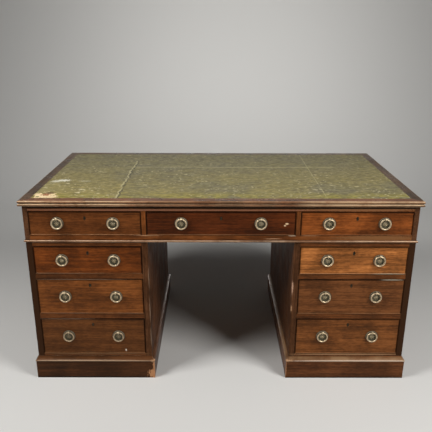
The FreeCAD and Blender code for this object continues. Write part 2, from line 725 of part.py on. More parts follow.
def make_door(side, hand, fittings, hinges):
    """A framed cupboard door with a fielded panel, and the brass that moves with it."""
    middle = hand * pedestal_middle
    width = size.pedestal_opening - 2 * size.door_gap
    height = cupboard_height - 2 * size.door_gap
    bottom = lower_floor + size.door_gap
    door_y = back_face - size.door_thickness / 2
    inner_width = width - 2 * size.door_stile
    inner_height = height - 2 * size.door_rail

    tongue = 2 * size.panel_tongue
    panel_board = board(f"{side}_panel_board",
                        (inner_width + tongue, size.panel_thickness, inner_height + tongue),
                        middle, door_y, bottom + size.door_rail - size.panel_tongue)
    base_x = inner_width / 2 - size.field_margin
    base_z = inner_height / 2 - size.field_margin
    field = wedge(
        f"{side}_panel_field",
        {"X": (-base_x, base_x), "Y": 0, "Z": (-base_z, base_z)},
        {"X": (size.field_bevel - base_x, base_x - size.field_bevel), "Y": size.field_height,
         "Z": (size.field_bevel - base_z, base_z - size.field_bevel)})
    place(field, (middle, door_y + size.panel_thickness / 2, bottom + height / 2))
    panel = joined(f"{side}_panel", [panel_board, field])

    keyhole_z = bottom + height / 2
    lock_x = middle - hand * (width / 2 - size.door_stile / 2)
    lock_y = back_face - size.door_thickness + size.lock_depth / 2
    lock = board(f"{side}_door_lock", (size.lock_width, size.lock_depth, size.lock_height),
                 lock_x, lock_y, keyhole_z - size.lock_height / 2)
    escutcheon = moved(f"{side}_door_escutcheon", fittings.escutcheon, lock_x, back_face, keyhole_z,
                       upright(HALF_TURN))
    keyhole = moved(f"{side}_door_keyhole", fittings.keyhole_room, lock_x, back_face, keyhole_z,
                    upright(HALF_TURN))
    wood = [panel]
    for name, offset in (("hinge", 1), ("lock", -1)):
        stile_x = middle + hand * offset * (width / 2 - size.door_stile / 2)
        blank = board(f"{side}_{name}_stile_blank", (size.door_stile, size.door_thickness, height),
                      stile_x, door_y, bottom)
        let_in = [hinge.door_mortise for hinge in hinges] if name == "hinge" else [lock, keyhole]
        rooms = joined(f"{side}_{name}_stile_rooms", [panel_board, *let_in])
        wood.append(cut(f"{side}_{name}_stile", blank, rooms))
    for name, rail_bottom in (("lower", bottom), ("upper", bottom + height - size.door_rail)):
        blank = board(f"{side}_door_{name}_rail_blank", (inner_width, size.door_thickness, size.door_rail),
                      middle, door_y, rail_bottom)
        wood.append(cut(f"{side}_door_{name}_rail", blank, panel_board))
    brass = [lock, escutcheon, *(hinge.door for hinge in hinges)]
    return {f"{side}_cupboard_door": group(f"{side}_cupboard_door", wood),
            f"{side}_cupboard_brassware": group(f"{side}_cupboard_brassware", brass)}


def make_desk():
    """Every node of the desk by name."""
    nodes = {}
    nodes.update(make_top())
    nodes.update(make_frieze())
    nodes["plinths"] = make_plinths()
    drawers, fittings = make_drawers()
    fixed_leaves = []
    for side, hand in LEFT_AND_RIGHT.items():
        door_bottom = lower_floor + size.door_gap
        door_top = case_ceiling - size.door_gap
        hinges = [make_hinge(f"{side}_lower_hinge", hand, door_bottom + size.hinge_offset),
                  make_hinge(f"{side}_upper_hinge", hand, door_top - size.hinge_offset - size.hinge_height)]
        mortises = [hinge.case_mortise for hinge in hinges]
        nodes[f"{side}_pedestal_case"] = make_pedestal(side, hand, mortises)
        nodes.update(make_door(side, hand, fittings, hinges))
        for hinge in hinges:
            fixed_leaves += hinge.case
    nodes["cupboard_hinges"] = group("cupboard_hinges", fixed_leaves)
    nodes.update(drawers)
    return nodes


def check(nodes):
    """Stop if anything in the document failed to build."""
    for item in doc.Objects:
        if "Invalid" in item.State or "Error" in item.State:
            raise RuntimeError(f"{item.Name} did not build: {item.State}")
    for name, piece in nodes.items():
        if piece.Shape.isNull() or not piece.Shape.isValid() or not piece.Shape.Solids:
            raise RuntimeError(f"{name} is not a valid solid")


def write(nodes):
    """Write each node's solids to its own file."""
    os.makedirs("parts", exist_ok=True)
    for name, piece in nodes.items():
        piece.Label = name
        piece.Shape.exportStep(f"parts/{name}.step")


desk = make_desk()
doc.recompute()
check(desk)
write(desk)
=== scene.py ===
import json
import logging
import math
from collections.abc import Callable, Sequence
from dataclasses import dataclass, field
from enum import Enum
from typing import Protocol, TypeAlias

import bpy
import numpy as np
from mathutils import Matrix, Vector

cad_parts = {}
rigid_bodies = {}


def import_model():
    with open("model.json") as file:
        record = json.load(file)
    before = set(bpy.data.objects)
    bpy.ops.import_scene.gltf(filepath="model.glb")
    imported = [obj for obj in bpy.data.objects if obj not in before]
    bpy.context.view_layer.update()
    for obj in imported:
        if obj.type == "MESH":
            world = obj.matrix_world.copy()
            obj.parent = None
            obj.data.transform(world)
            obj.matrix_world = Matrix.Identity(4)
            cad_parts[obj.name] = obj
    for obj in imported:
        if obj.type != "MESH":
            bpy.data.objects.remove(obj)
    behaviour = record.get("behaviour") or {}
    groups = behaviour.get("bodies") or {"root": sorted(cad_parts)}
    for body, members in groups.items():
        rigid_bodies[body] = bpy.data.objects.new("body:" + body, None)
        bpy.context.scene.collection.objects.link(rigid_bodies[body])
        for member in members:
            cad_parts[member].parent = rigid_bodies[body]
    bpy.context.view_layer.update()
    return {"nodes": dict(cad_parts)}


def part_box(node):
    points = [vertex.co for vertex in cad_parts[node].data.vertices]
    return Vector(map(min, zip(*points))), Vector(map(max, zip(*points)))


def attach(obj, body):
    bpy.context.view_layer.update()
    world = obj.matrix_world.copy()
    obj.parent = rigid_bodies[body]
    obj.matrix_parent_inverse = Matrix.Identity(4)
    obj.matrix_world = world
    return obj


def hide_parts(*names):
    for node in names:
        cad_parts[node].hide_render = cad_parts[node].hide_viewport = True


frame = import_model()

# Looks of the partners desk: waxed mahogany, worn green leather, aged brass ring pulls and a plain studio.
# Metres. The origin is on the floor under the middle: X to the right, Y to the back, Z up.

log = logging.getLogger("partners_desk")

Colour: TypeAlias = tuple[float, float, float]
Point: TypeAlias = tuple[float, float, float]
Socket: TypeAlias = bpy.types.NodeSocket
Feed: TypeAlias = bpy.types.NodeSocket | float | Sequence[float]

FRONT_FACE = 0.4075
BEAD_FACE = 0.4095
TOP_HEIGHT = 0.772
SEAM_X, SEAM_Y, CRACK_X = 0.404, 0.112, -0.401
SIDES = ("left", "right")


class Grain(Enum):
    """The way a board's grain runs, as the turn that lays it along X."""

    ALONG_X = (0.0, 0.0, 0.0)
    ALONG_Y = (0.0, 0.0, -math.pi / 2)
    ALONG_Z = (0.0, math.pi / 2, 0.0)


class Axis(Enum):
    """One of the three directions, as its place in a point."""

    X = 0
    Y = 1
    Z = 2


@dataclass(frozen=True)
class Mark:
    """A chip, scuff or bare patch at one place on a surface."""

    centre: Point
    reach: Point
    colour: Colour
    ragged: float = 0.6


def front_mark(x: float, z: float, half_width: float, half_height: float, colour: Colour,
               ragged: float) -> Mark:
    """Put a mark on the front of the woodwork, by its middle and half its width and height."""
    return Mark((x, -FRONT_FACE, z), (half_width, 0.006, half_height), colour, ragged)


def bead_mark(x: float, z: float, half_width: float, half_height: float, colour: Colour,
              ragged: float) -> Mark:
    """Put a mark on a drawer's bead, by its middle and half its width and height."""
    return Mark((x, -BEAD_FACE, z), (half_width, 0.0022, half_height), colour, ragged)


def top_mark(x: float, y: float, half_width: float, half_depth: float, colour: Colour,
             ragged: float) -> Mark:
    """Put a mark on the leather, by its middle and half its width and depth."""
    return Mark((x, y, TOP_HEIGHT), (half_width, half_depth, 0.03), colour, ragged)


@dataclass(frozen=True)
class Layer:
    """A random pattern: its spots to a metre along each direction, and how fine and rough it is."""

    spots: Point
    detail: float = 2.0
    roughness: float = 0.5


# Layers of the wood's figure, of the brass and of the leather
WANDER = Layer((1.3, 6.0, 6.0))
RIBBON = Layer((1.6, 34.0, 34.0), 4.0, 0.6)
STREAK = Layer((6.0, 290.0, 290.0), 2.0, 0.6)
PORE = Layer((22.0, 640.0, 640.0))
FLECK = Layer((52.0, 170.0, 170.0), 3.0, 0.7)
RING = Layer((1.1, 42.0, 42.0), 4.0, 0.55)
FIBRE = Layer((9.0, 520.0, 520.0), 2.0, 0.6)
SCRATCH = Layer((900.0, 200.0, 900.0))
MOTTLE = Layer((9.0, 20.0, 1.0), 5.0, 0.68)
TOOTH = Layer((42.0, 62.0, 1.0), 4.0, 0.66)
RUBBING = Layer((11.0, 120.0, 1.0), 5.0, 0.7)


class Shader:
    """Builds one material's node tree, socket by socket."""

    MIX_FACTOR = 0
    MIX_COLOURS = (6, 7)
    MIX_RESULT = 2
    SPOT_EDGE = (1.05, 0.85)
    EDGE_TURN = (0.995, 0.86)
    SLOPE = (0.985, 0.9)
    SHADED = (0.9, 0.4)

    def __init__(self, name: str) -> None:
        """Start a material.

        Args:
            name: The material's name.
        """
        self.material = bpy.data.materials.new(name)
        self.material.use_nodes = True
        self.tree = self.material.node_tree
        self.surface = self.tree.nodes["Principled BSDF"]
        self.place = self.add("ShaderNodeTexCoord").outputs["Object"]

    def add(self, kind: str, **settings: object) -> bpy.types.Node:
        """Add a node.

        Args:
            kind: The node's type.
            settings: Its properties by name.

        Returns:
            The new node.
        """
        node = self.tree.nodes.new(kind)
        for name, value in settings.items():
            setattr(node, name, value)
        return node

    def feed(self, socket: Socket, value: Feed) -> None:
        """Link a socket to another, or give it a constant.

        Args:
            socket: The input.
            value: An output to link, or a number, colour or vector.
        """
        if isinstance(value, bpy.types.NodeSocket):
            self.tree.links.new(value, socket)
        else:
            socket.default_value = value

    def dress(self, **inputs: Feed) -> None:
        """Feed the surface's own sockets, named with underscores for spaces.

        Args:
            inputs: What each socket gets.
        """
        for name, value in inputs.items():
            if name == "Base_Color" and not isinstance(value, bpy.types.NodeSocket):
                value = (*value, 1.0)
            self.feed(self.surface.inputs[name.replace("_", " ")], value)

    def maths(self, operation: str, first: Feed, second: Feed = 0.0) -> Socket:
        """Work out one number from two.

        Args:
            operation: The operation's name.
            first: The first number.
            second: The second number.

        Returns:
            The result.
        """
        node = self.add("ShaderNodeMath", operation=operation)
        self.feed(node.inputs[0], first)
        self.feed(node.inputs[1], second)
        return node.outputs[0]

    def times(self, first: Feed, second: Feed) -> Socket:
        """Multiply two numbers."""
        return self.maths("MULTIPLY", first, second)

    def vector(self, operation: str, first: Feed, second: Feed = (0.0, 0.0, 0.0),
               output: str = "Vector") -> Socket:
        """Work out a vector, or one of its measures, from two.

        Args:
            operation: The operation's name.
            first: The first vector.
            second: The second vector.
            output: Which of the node's outputs to take.

        Returns:
            The result.
        """
        node = self.add("ShaderNodeVectorMath", operation=operation)
        self.feed(node.inputs[0], first)
        self.feed(node.inputs[1], second)
        return node.outputs[output]

    def part(self, vector: Socket, axis: Axis) -> Socket:
        """Take one coordinate of a vector.

        Args:
            vector: The vector.
            axis: Which coordinate.

        Returns:
            The coordinate.
        """
        node = self.add("ShaderNodeSeparateXYZ")
        self.feed(node.inputs[0], vector)
        return node.outputs[axis.value]

    def noise(self, vector: Socket, scale: float, detail: float = 2.0, roughness: float = 0.5) -> Socket:
        """A soft random pattern.

        Args:
            vector: Where to read it.
            scale: How many spots there are to a unit.
            detail: How many finer layers it has.
            roughness: How strong the finer layers are.

        Returns:
            The pattern, from 0 to 1.
        """
        node = self.add("ShaderNodeTexNoise")
        self.feed(node.inputs["Vector"], vector)
        node.inputs["Scale"].default_value = scale
        node.inputs["Detail"].default_value = detail
        node.inputs["Roughness"].default_value = roughness
        return node.outputs[0]

    def layer(self, vector: Socket, layer: Layer) -> Socket:
        """A layer of figure or wear, from 0 to 1, read at a place."""
        place = self.vector("MULTIPLY", vector, layer.spots)
        return self.noise(place, 1.0, layer.detail, layer.roughness)

    def laid(self, grain: Grain, shift: Point = (0.0, 0.0, 0.0)) -> Socket:
        """Coordinates of a board, turned so that its grain runs along X.

        Args:
            grain: The way the grain runs.
            shift: Which part of the figure the board shows.

        Returns:
            The coordinates.
        """
        turned = self.add("ShaderNodeMapping")
        turned.inputs["Location"].default_value = shift
        turned.inputs["Rotation"].default_value = grain.value
        self.feed(turned.inputs["Vector"], self.place)
        return turned.outputs[0]

    def cells(self, vector: Socket, scale: float) -> tuple[Socket, Socket]:
        """A pattern of small uneven cells.

        Args:
            vector: Where to read it.
            scale: How many cells there are to a unit.

        Returns:
            The distance to the nearest cell's middle, and that cell's own random colour.
        """
        node = self.add("ShaderNodeTexVoronoi")
        self.feed(node.inputs["Vector"], vector)
        node.inputs["Scale"].default_value = scale
        return node.outputs["Distance"], node.outputs["Color"]

    def jitter(self, scale: float) -> Socket:
        """A soft random shift round zero.

        Args:
            scale: How many shifts there are to a unit.

        Returns:
            The shift, as a vector within half a unit.
        """
        node = self.add("ShaderNodeTexNoise")
        self.feed(node.inputs["Vector"], self.place)
        node.inputs["Scale"].default_value = scale
        return self.vector("SUBTRACT", node.outputs["Color"], (0.5, 0.5, 0.5))

    def between(self, value: Feed, low: float, high: float, to_low: float = 0.0,
                to_high: float = 1.0) -> Socket:
        """Spread the stretch of a number between two bounds over another stretch, smoothly.

        Args:
            value: The number.
            low: Where the stretch starts.
            high: Where it ends.
            to_low: The result at the start.
            to_high: The result at the end.

        Returns:
            The result.
        """
        node = self.add("ShaderNodeMapRange", interpolation_type="SMOOTHSTEP")
        for socket, given in zip(node.inputs, (value, low, high, to_low, to_high)):
            self.feed(socket, given)
        return node.outputs[0]

    def mix(self, factor: Feed, first: Feed, second: Feed, blend: str = "MIX") -> Socket:
        """Mix two colours.

        Args:
            factor: The share of the second.
            first: The first colour.
            second: The second colour.
            blend: How they mix.

        Returns:
            The mixed colour.
        """
        node = self.add("ShaderNodeMix", data_type="RGBA", blend_type=blend)
        self.feed(node.inputs[self.MIX_FACTOR], factor)
        for index, colour in zip(self.MIX_COLOURS, (first, second)):
            linked = isinstance(colour, bpy.types.NodeSocket)
            self.feed(node.inputs[index], colour if linked else (*colour, 1.0))
        return node.outputs[self.MIX_RESULT]

    def ramp(self, factor: Socket, stops: Sequence[tuple[float, Colour]]) -> Socket:
        """Turn a number into a colour.

        Args:
            factor: The number, from 0 to 1.
            stops: Each stop's place and colour, in order.

        Returns:
            The colour.
        """
        node = self.add("ShaderNodeValToRGB")
        elements = node.color_ramp.elements
        while len(elements) < len(stops):
            elements.new(1.0)
        for element, (position, colour) in zip(elements, stops):
            element.position = position
            element.color = (*colour, 1.0)
        self.feed(node.inputs[0], factor)
        return node.outputs[0]

    def spot(self, mark: Mark) -> Socket:
        """Where a mark lies.

        Args:
            mark: The mark.

        Returns:
            1 inside it and 0 outside.
        """
        away = self.vector("SUBTRACT", self.place, mark.centre)
        share = self.vector("DIVIDE", away, mark.reach)
        span = self.vector("LENGTH", share, output="Value")
        grit = self.noise(self.place, 2.0 / min(mark.reach), 4.0, 0.65)
        stray = self.times(self.maths("SUBTRACT", grit, 0.5), 2.0 * mark.ragged)
        return self.between(self.maths("ADD", span, stray), *self.SPOT_EDGE)

    def marked(self, colour: Socket, marks: Sequence[Mark]) -> Socket:
        """Lay marks over a colour, one after the other.

        Args:
            colour: The colour.
            marks: The marks.

        Returns:
            The colour with the marks.
        """
        for mark in marks:
            colour = self.mix(self.spot(mark), colour, mark.colour)
        return colour

    def edges(self, radius: float) -> tuple[Socket, Socket]:
        """Rounded edges.

        Args:
            radius: How far the rounding reaches.

        Returns:
            The rounded normal, and how far it turns from the flat one, 0 to 1.
        """
        rounding = self.add("ShaderNodeBevel", samples=4)
        rounding.inputs["Radius"].default_value = radius
        normal = rounding.outputs["Normal"]
        flat = self.add("ShaderNodeNewGeometry").outputs["Normal"]
        turn = self.vector("DOT_PRODUCT", normal, flat, output="Value")
        return normal, self.between(turn, *self.EDGE_TURN)

    def curves(self) -> Socket:
        """Where a surface is rounded, as on a moulding, and faces none of the three directions.

        Returns:
            1 on a slope and 0 on a flat face.
        """
        facing = self.vector("ABSOLUTE", self.add("ShaderNodeNewGeometry").outputs["Normal"])
        most: Feed = 0.0
        for axis in Axis:
            most = self.maths("MAXIMUM", most, self.part(facing, axis))
        return self.between(most, *self.SLOPE)

    def creases(self, reach: float) -> Socket:
        """Where a surface lies in a corner or a narrow gap, by ambient occlusion; it marks where dirt and
        painted shade go.

        Args:
            reach: How near the other surface is.

        Returns:
            1 deep in the corner and 0 in the open.
        """
        shade = self.add("ShaderNodeAmbientOcclusion", samples=8)
        shade.inputs["Distance"].default_value = reach
        return self.between(shade.outputs["AO"], *self.SHADED)

    def bump(self, height: Socket, distance: float, strength: float = 1.0,
             normal: Socket | None = None) -> Socket:
        """A surface relief.

        Args:
            height: The relief, from 0 to 1.
            distance: How deep it is, in metres.
            strength: How much of it shows.
            normal: The normal that it changes.

        Returns:
            The changed normal.
        """
        node = self.add("ShaderNodeBump")
        node.inputs["Distance"].default_value = distance
        node.inputs["Strength"].default_value = strength
        self.feed(node.inputs["Height"], height)
        if normal is not None:
            self.feed(node.inputs["Normal"], normal)
        return node.outputs[0]


def seen_rays(tree: bpy.types.NodeTree) -> Socket:
    """Tell the rays that show a surface, also in a mirror or through glass, from those that light others.

    Args:
        tree: The node tree to add this to.

    Returns:
        1 for a ray that shows the surface and 0 for another.
    """
    path = tree.nodes.new("ShaderNodeLightPath")
    seen = path.outputs["Is Camera Ray"]
    for ray in ("Is Glossy Ray", "Is Transmission Ray"):
        either = tree.nodes.new("ShaderNodeMath")
        either.operation = "MAXIMUM"
        tree.links.new(seen, either.inputs[0])
        tree.links.new(path.outputs[ray], either.inputs[1])
        seen = either.outputs[0]
    return seen


class Finish(Protocol):
    """Anything that can make a material."""

    def material(self) -> bpy.types.Material:
        """Make the material."""


def scaled(colour: Colour, factor: float) -> Colour:
    """Darken or lighten a colour by a factor."""
    return (colour[0] * factor, colour[1] * factor, colour[2] * factor)


@dataclass(frozen=True)
class Mahogany:
    """Waxed mahogany: ribbon figure, pores, rubbed edges and marks of use, with dirt and painted shade in
    corners and gaps and painted highlights on rounded mouldings.
    """

    name: str
    tone: Colour
    grain: Grain
    shift: Point = (0.0, 0.0, 0.0)
    wear: float = 0.5
    roughness: float = 0.36
    gloss: float = 0.22
    wax: Colour = (1.0, 0.72, 0.5)
    marks: tuple[Mark, ...] = ()
    # The edge colour: lighter wear by default, and painted shade along the gaps where the near-black gap
    # colour is given.
    rubbed: Colour = (0.36, 0.19, 0.095)
    # The darkening colour, its reach and its share: dirt and painted shade in corners and narrow gaps,
    # found by ambient occlusion.
    darkening: Colour = (0.014, 0.008, 0.005)
    dirt_and_shade_reach: float = 0.012
    edge_radius: float = 0.0016
    even: float = 0.0
    # Lighter colour on rounded mouldings and how much of it shows: partly wear, partly painted highlight,
    # kept low in the middle of the length where a half length is given.
    nose_rub_and_highlight: float = 0.0
    nose_rub_and_highlight_colour: Colour = (0.42, 0.25, 0.14)
    low_highlight_half_length: float = 0.0
    stray: float = 0.02
    pore_depth: float = 0.6
    dirt_and_shade_share: float = 0.85

    def material(self) -> bpy.types.Material:
        """Make the material.

        Returns:
            The material.
        """
        shader = Shader(self.name)
        board = shader.laid(self.grain, self.shift)
        wander = shader.maths("SUBTRACT", shader.layer(board, WANDER), 0.5)
        drift = shader.add("ShaderNodeCombineXYZ")
        for index in (Axis.Y.value, Axis.Z.value):
            shader.feed(drift.inputs[index], shader.times(wander, self.stray))
        lines = shader.vector("ADD", board, drift.outputs[0])
        ribbon = shader.layer(lines, RIBBON)
        streak = shader.layer(lines, STREAK)
        dash = shader.layer(lines, PORE)
        fleck = shader.layer(lines, FLECK)
        cloud = shader.noise(shader.place, 7.0, 4.0, 0.6)
        figure: Feed = 0.0
        for pattern, share in ((ribbon, 0.25), (streak, 0.25), (fleck, 0.2), (cloud, 0.3)):
            spread = shader.between(pattern, 0.37, 0.63)
            figure = shader.maths("ADD", figure, shader.times(spread, share))
        red, green, blue = self.tone
        colour = shader.ramp(figure, (
            (0.1, scaled(self.tone, 0.32)),
            (0.36, scaled(self.tone, 0.69)),
            (0.55, self.tone),
            (0.85, (red * 1.62, green * 1.72, blue * 1.86)),
        ))
        pores = shader.between(dash, 0.56, 0.7)
        colour = shader.mix(shader.times(pores, self.pore_depth), colour, scaled(self.tone, 0.2))
        normal, edge = shader.edges(self.edge_radius)
        patchy = shader.between(shader.noise(shader.place, 26.0, 4.0, 0.7), 0.42, 0.66, self.even, 1.0)
        # How much edge colour shows: wear on edges, or painted shade along the gaps.
        edge_wear_and_shade_mask = shader.times(shader.times(edge, patchy), self.wear)
        # Darker in corners and narrow gaps: partly dirt, partly painted shade.
        gap = shader.times(shader.creases(self.dirt_and_shade_reach), self.dirt_and_shade_share)
        colour = shader.mix(gap, colour, self.darkening)
        # Rounded mouldings lighter: partly wear, partly painted highlight, dimmer in the middle stretch.
        if self.nose_rub_and_highlight:
            touch = shader.noise(shader.place, 9.0, 4.0, 0.65)
            rub_and_highlight = shader.between(touch, 0.36, 0.58, 0.25, self.nose_rub_and_highlight)
            if self.low_highlight_half_length:
                off = shader.maths("ABSOLUTE", shader.part(shader.place, Axis.X))
                length = self.low_highlight_half_length
                side_highlight = shader.between(off, 0.8 * length, 1.15 * length, 0.3, 1.0)
                rub_and_highlight = shader.times(rub_and_highlight, side_highlight)
            colour = shader.mix(shader.times(shader.curves(), rub_and_highlight), colour, self.nose_rub_and_highlight_colour)
        colour = shader.marked(shader.mix(edge_wear_and_shade_mask, colour, self.rubbed), self.marks)
        smear = shader.noise(shader.place, 14.0, 3.0, 0.6)
        matt = shader.between(smear, 0.3, 0.75, self.roughness - 0.07, self.roughness + 0.14)
        relief = shader.maths("SUBTRACT", streak, shader.times(pores, self.pore_depth))
        shader.dress(
            Base_Color=colour,
            Roughness=shader.maths("ADD", matt, shader.times(edge_wear_and_shade_mask, 0.15)),
            Specular_IOR_Level=self.gloss,
            Specular_Tint=(*self.wax, 1.0),
            Normal=shader.bump(relief, 0.00025, 0.5, normal))
        return shader.material


@dataclass(frozen=True)
class CarcaseWood:
    """The plain paler wood of drawer linings, runners and partitions."""

    name: str
    tone: Colour
    grain: Grain

    def material(self) -> bpy.types.Material:
        """Make the material.

        Returns:
            The material.
        """
        shader = Shader(self.name)
        board = shader.laid(self.grain)
        ring = shader.layer(board, RING)
        fibre = shader.layer(board, FIBRE)
        darkening = shader.noise(shader.place, 7.0, 4.0, 0.65)
        figure = shader.maths("ADD", shader.times(ring, 0.65), shader.times(fibre, 0.35))
        colour = shader.ramp(figure, (
            (0.32, scaled(self.tone, 0.62)),
            (0.52, self.tone),
            (0.7, scaled(self.tone, 1.22)),
        ))
        colour = shader.mix(shader.between(darkening, 0.5, 0.75, 0.0, 0.45), colour, scaled(self.tone, 0.4))
        shader.dress(Base_Color=colour, Roughness=0.72, Normal=shader.bump(fibre, 0.0003, 0.5))
        return shader.material


@dataclass(frozen=True)
class AgedBrass:
    """Cast brass, dull and greenish in its hollows and rubbed where it stands proud of the drawer."""

    name: str
    hollow: Colour = (0.06, 0.05, 0.028)
    green: Colour = (0.13, 0.12, 0.07)
    proud: Colour = (0.17, 0.13, 0.078)
    face: float = FRONT_FACE
    hollow_height: float = 0.0016
    proud_height: float = 0.0031

    def material(self) -> bpy.types.Material:
        """Make the material.

        Returns:
            The material.
        """
        shader = Shader(self.name)
        depth = shader.maths("ABSOLUTE", shader.part(shader.place, Axis.Y))
        height = shader.maths("SUBTRACT", depth, self.face)
        patch = shader.noise(shader.place, 420.0, 3.0, 0.6)
        lift = shader.maths("ADD", height, shader.times(shader.maths("SUBTRACT", patch, 0.5), 0.002))
        rubbed = shader.between(lift, self.hollow_height, self.proud_height)
        tarnish = shader.mix(shader.between(patch, 0.38, 0.62), self.hollow, self.green)
        colour = shader.mix(rubbed, tarnish, self.proud)
        shader.dress(
            Base_Color=colour,
            Metallic=shader.between(rubbed, 0.0, 1.0, 0.1, 0.4),
            Roughness=shader.between(rubbed, 0.0, 1.0, 0.65, 0.42),
            Normal=shader.bump(patch, 0.0002, 0.5))
        return shader.material


@dataclass(frozen=True)
class BrightBrass:
    """Brass that hands keep bright, with a little tarnish left and painted shade in its tight corners."""

    name: str
    tone: Colour = (0.64, 0.495, 0.315)
    tarnish: Colour = (0.29, 0.205, 0.115)
    dirt_and_shade_reach: float = 0.005

    def material(self) -> bpy.types.Material:
        """Make the material.

        Returns:
            The material.
        """
        shader = Shader(self.name)
        patch = shader.noise(shader.place, 180.0, 4.0, 0.65)
        scratch = shader.layer(shader.place, SCRATCH)
        dull = shader.between(patch, 0.46, 0.64)
        colour = shader.mix(dull, self.tone, self.tarnish)
        shader.dress(
            # Darker in tight corners, by ambient occlusion: painted shade.
            Base_Color=shader.mix(shader.creases(self.dirt_and_shade_reach), colour, scaled(self.tarnish, 0.3)),
            Metallic=shader.between(dull, 0.0, 1.0, 0.75, 0.35),
            Roughness=shader.between(patch, 0.3, 0.7, 0.34, 0.52),
            Normal=shader.bump(scratch, 0.00006, 0.4))
        return shader.material


@dataclass(frozen=True)
class DarkIron:
    """The dull dark metal of lock cases and nuts."""

    name: str
    tone: Colour = (0.055, 0.05, 0.045)
    rust: Colour = (0.12, 0.06, 0.03)

    def material(self) -> bpy.types.Material:
        """Make the material.

        Returns:
            The material.
        """
        shader = Shader(self.name)
        patch = shader.noise(shader.place, 260.0, 4.0, 0.6)
        shader.dress(
            Base_Color=shader.mix(shader.between(patch, 0.5, 0.7, 0.0, 0.5), self.tone, self.rust),
            Metallic=0.7,
            Roughness=shader.between(patch, 0.3, 0.7, 0.5, 0.75),
            Normal=shader.bump(patch, 0.0001, 0.4))
        return shader.material


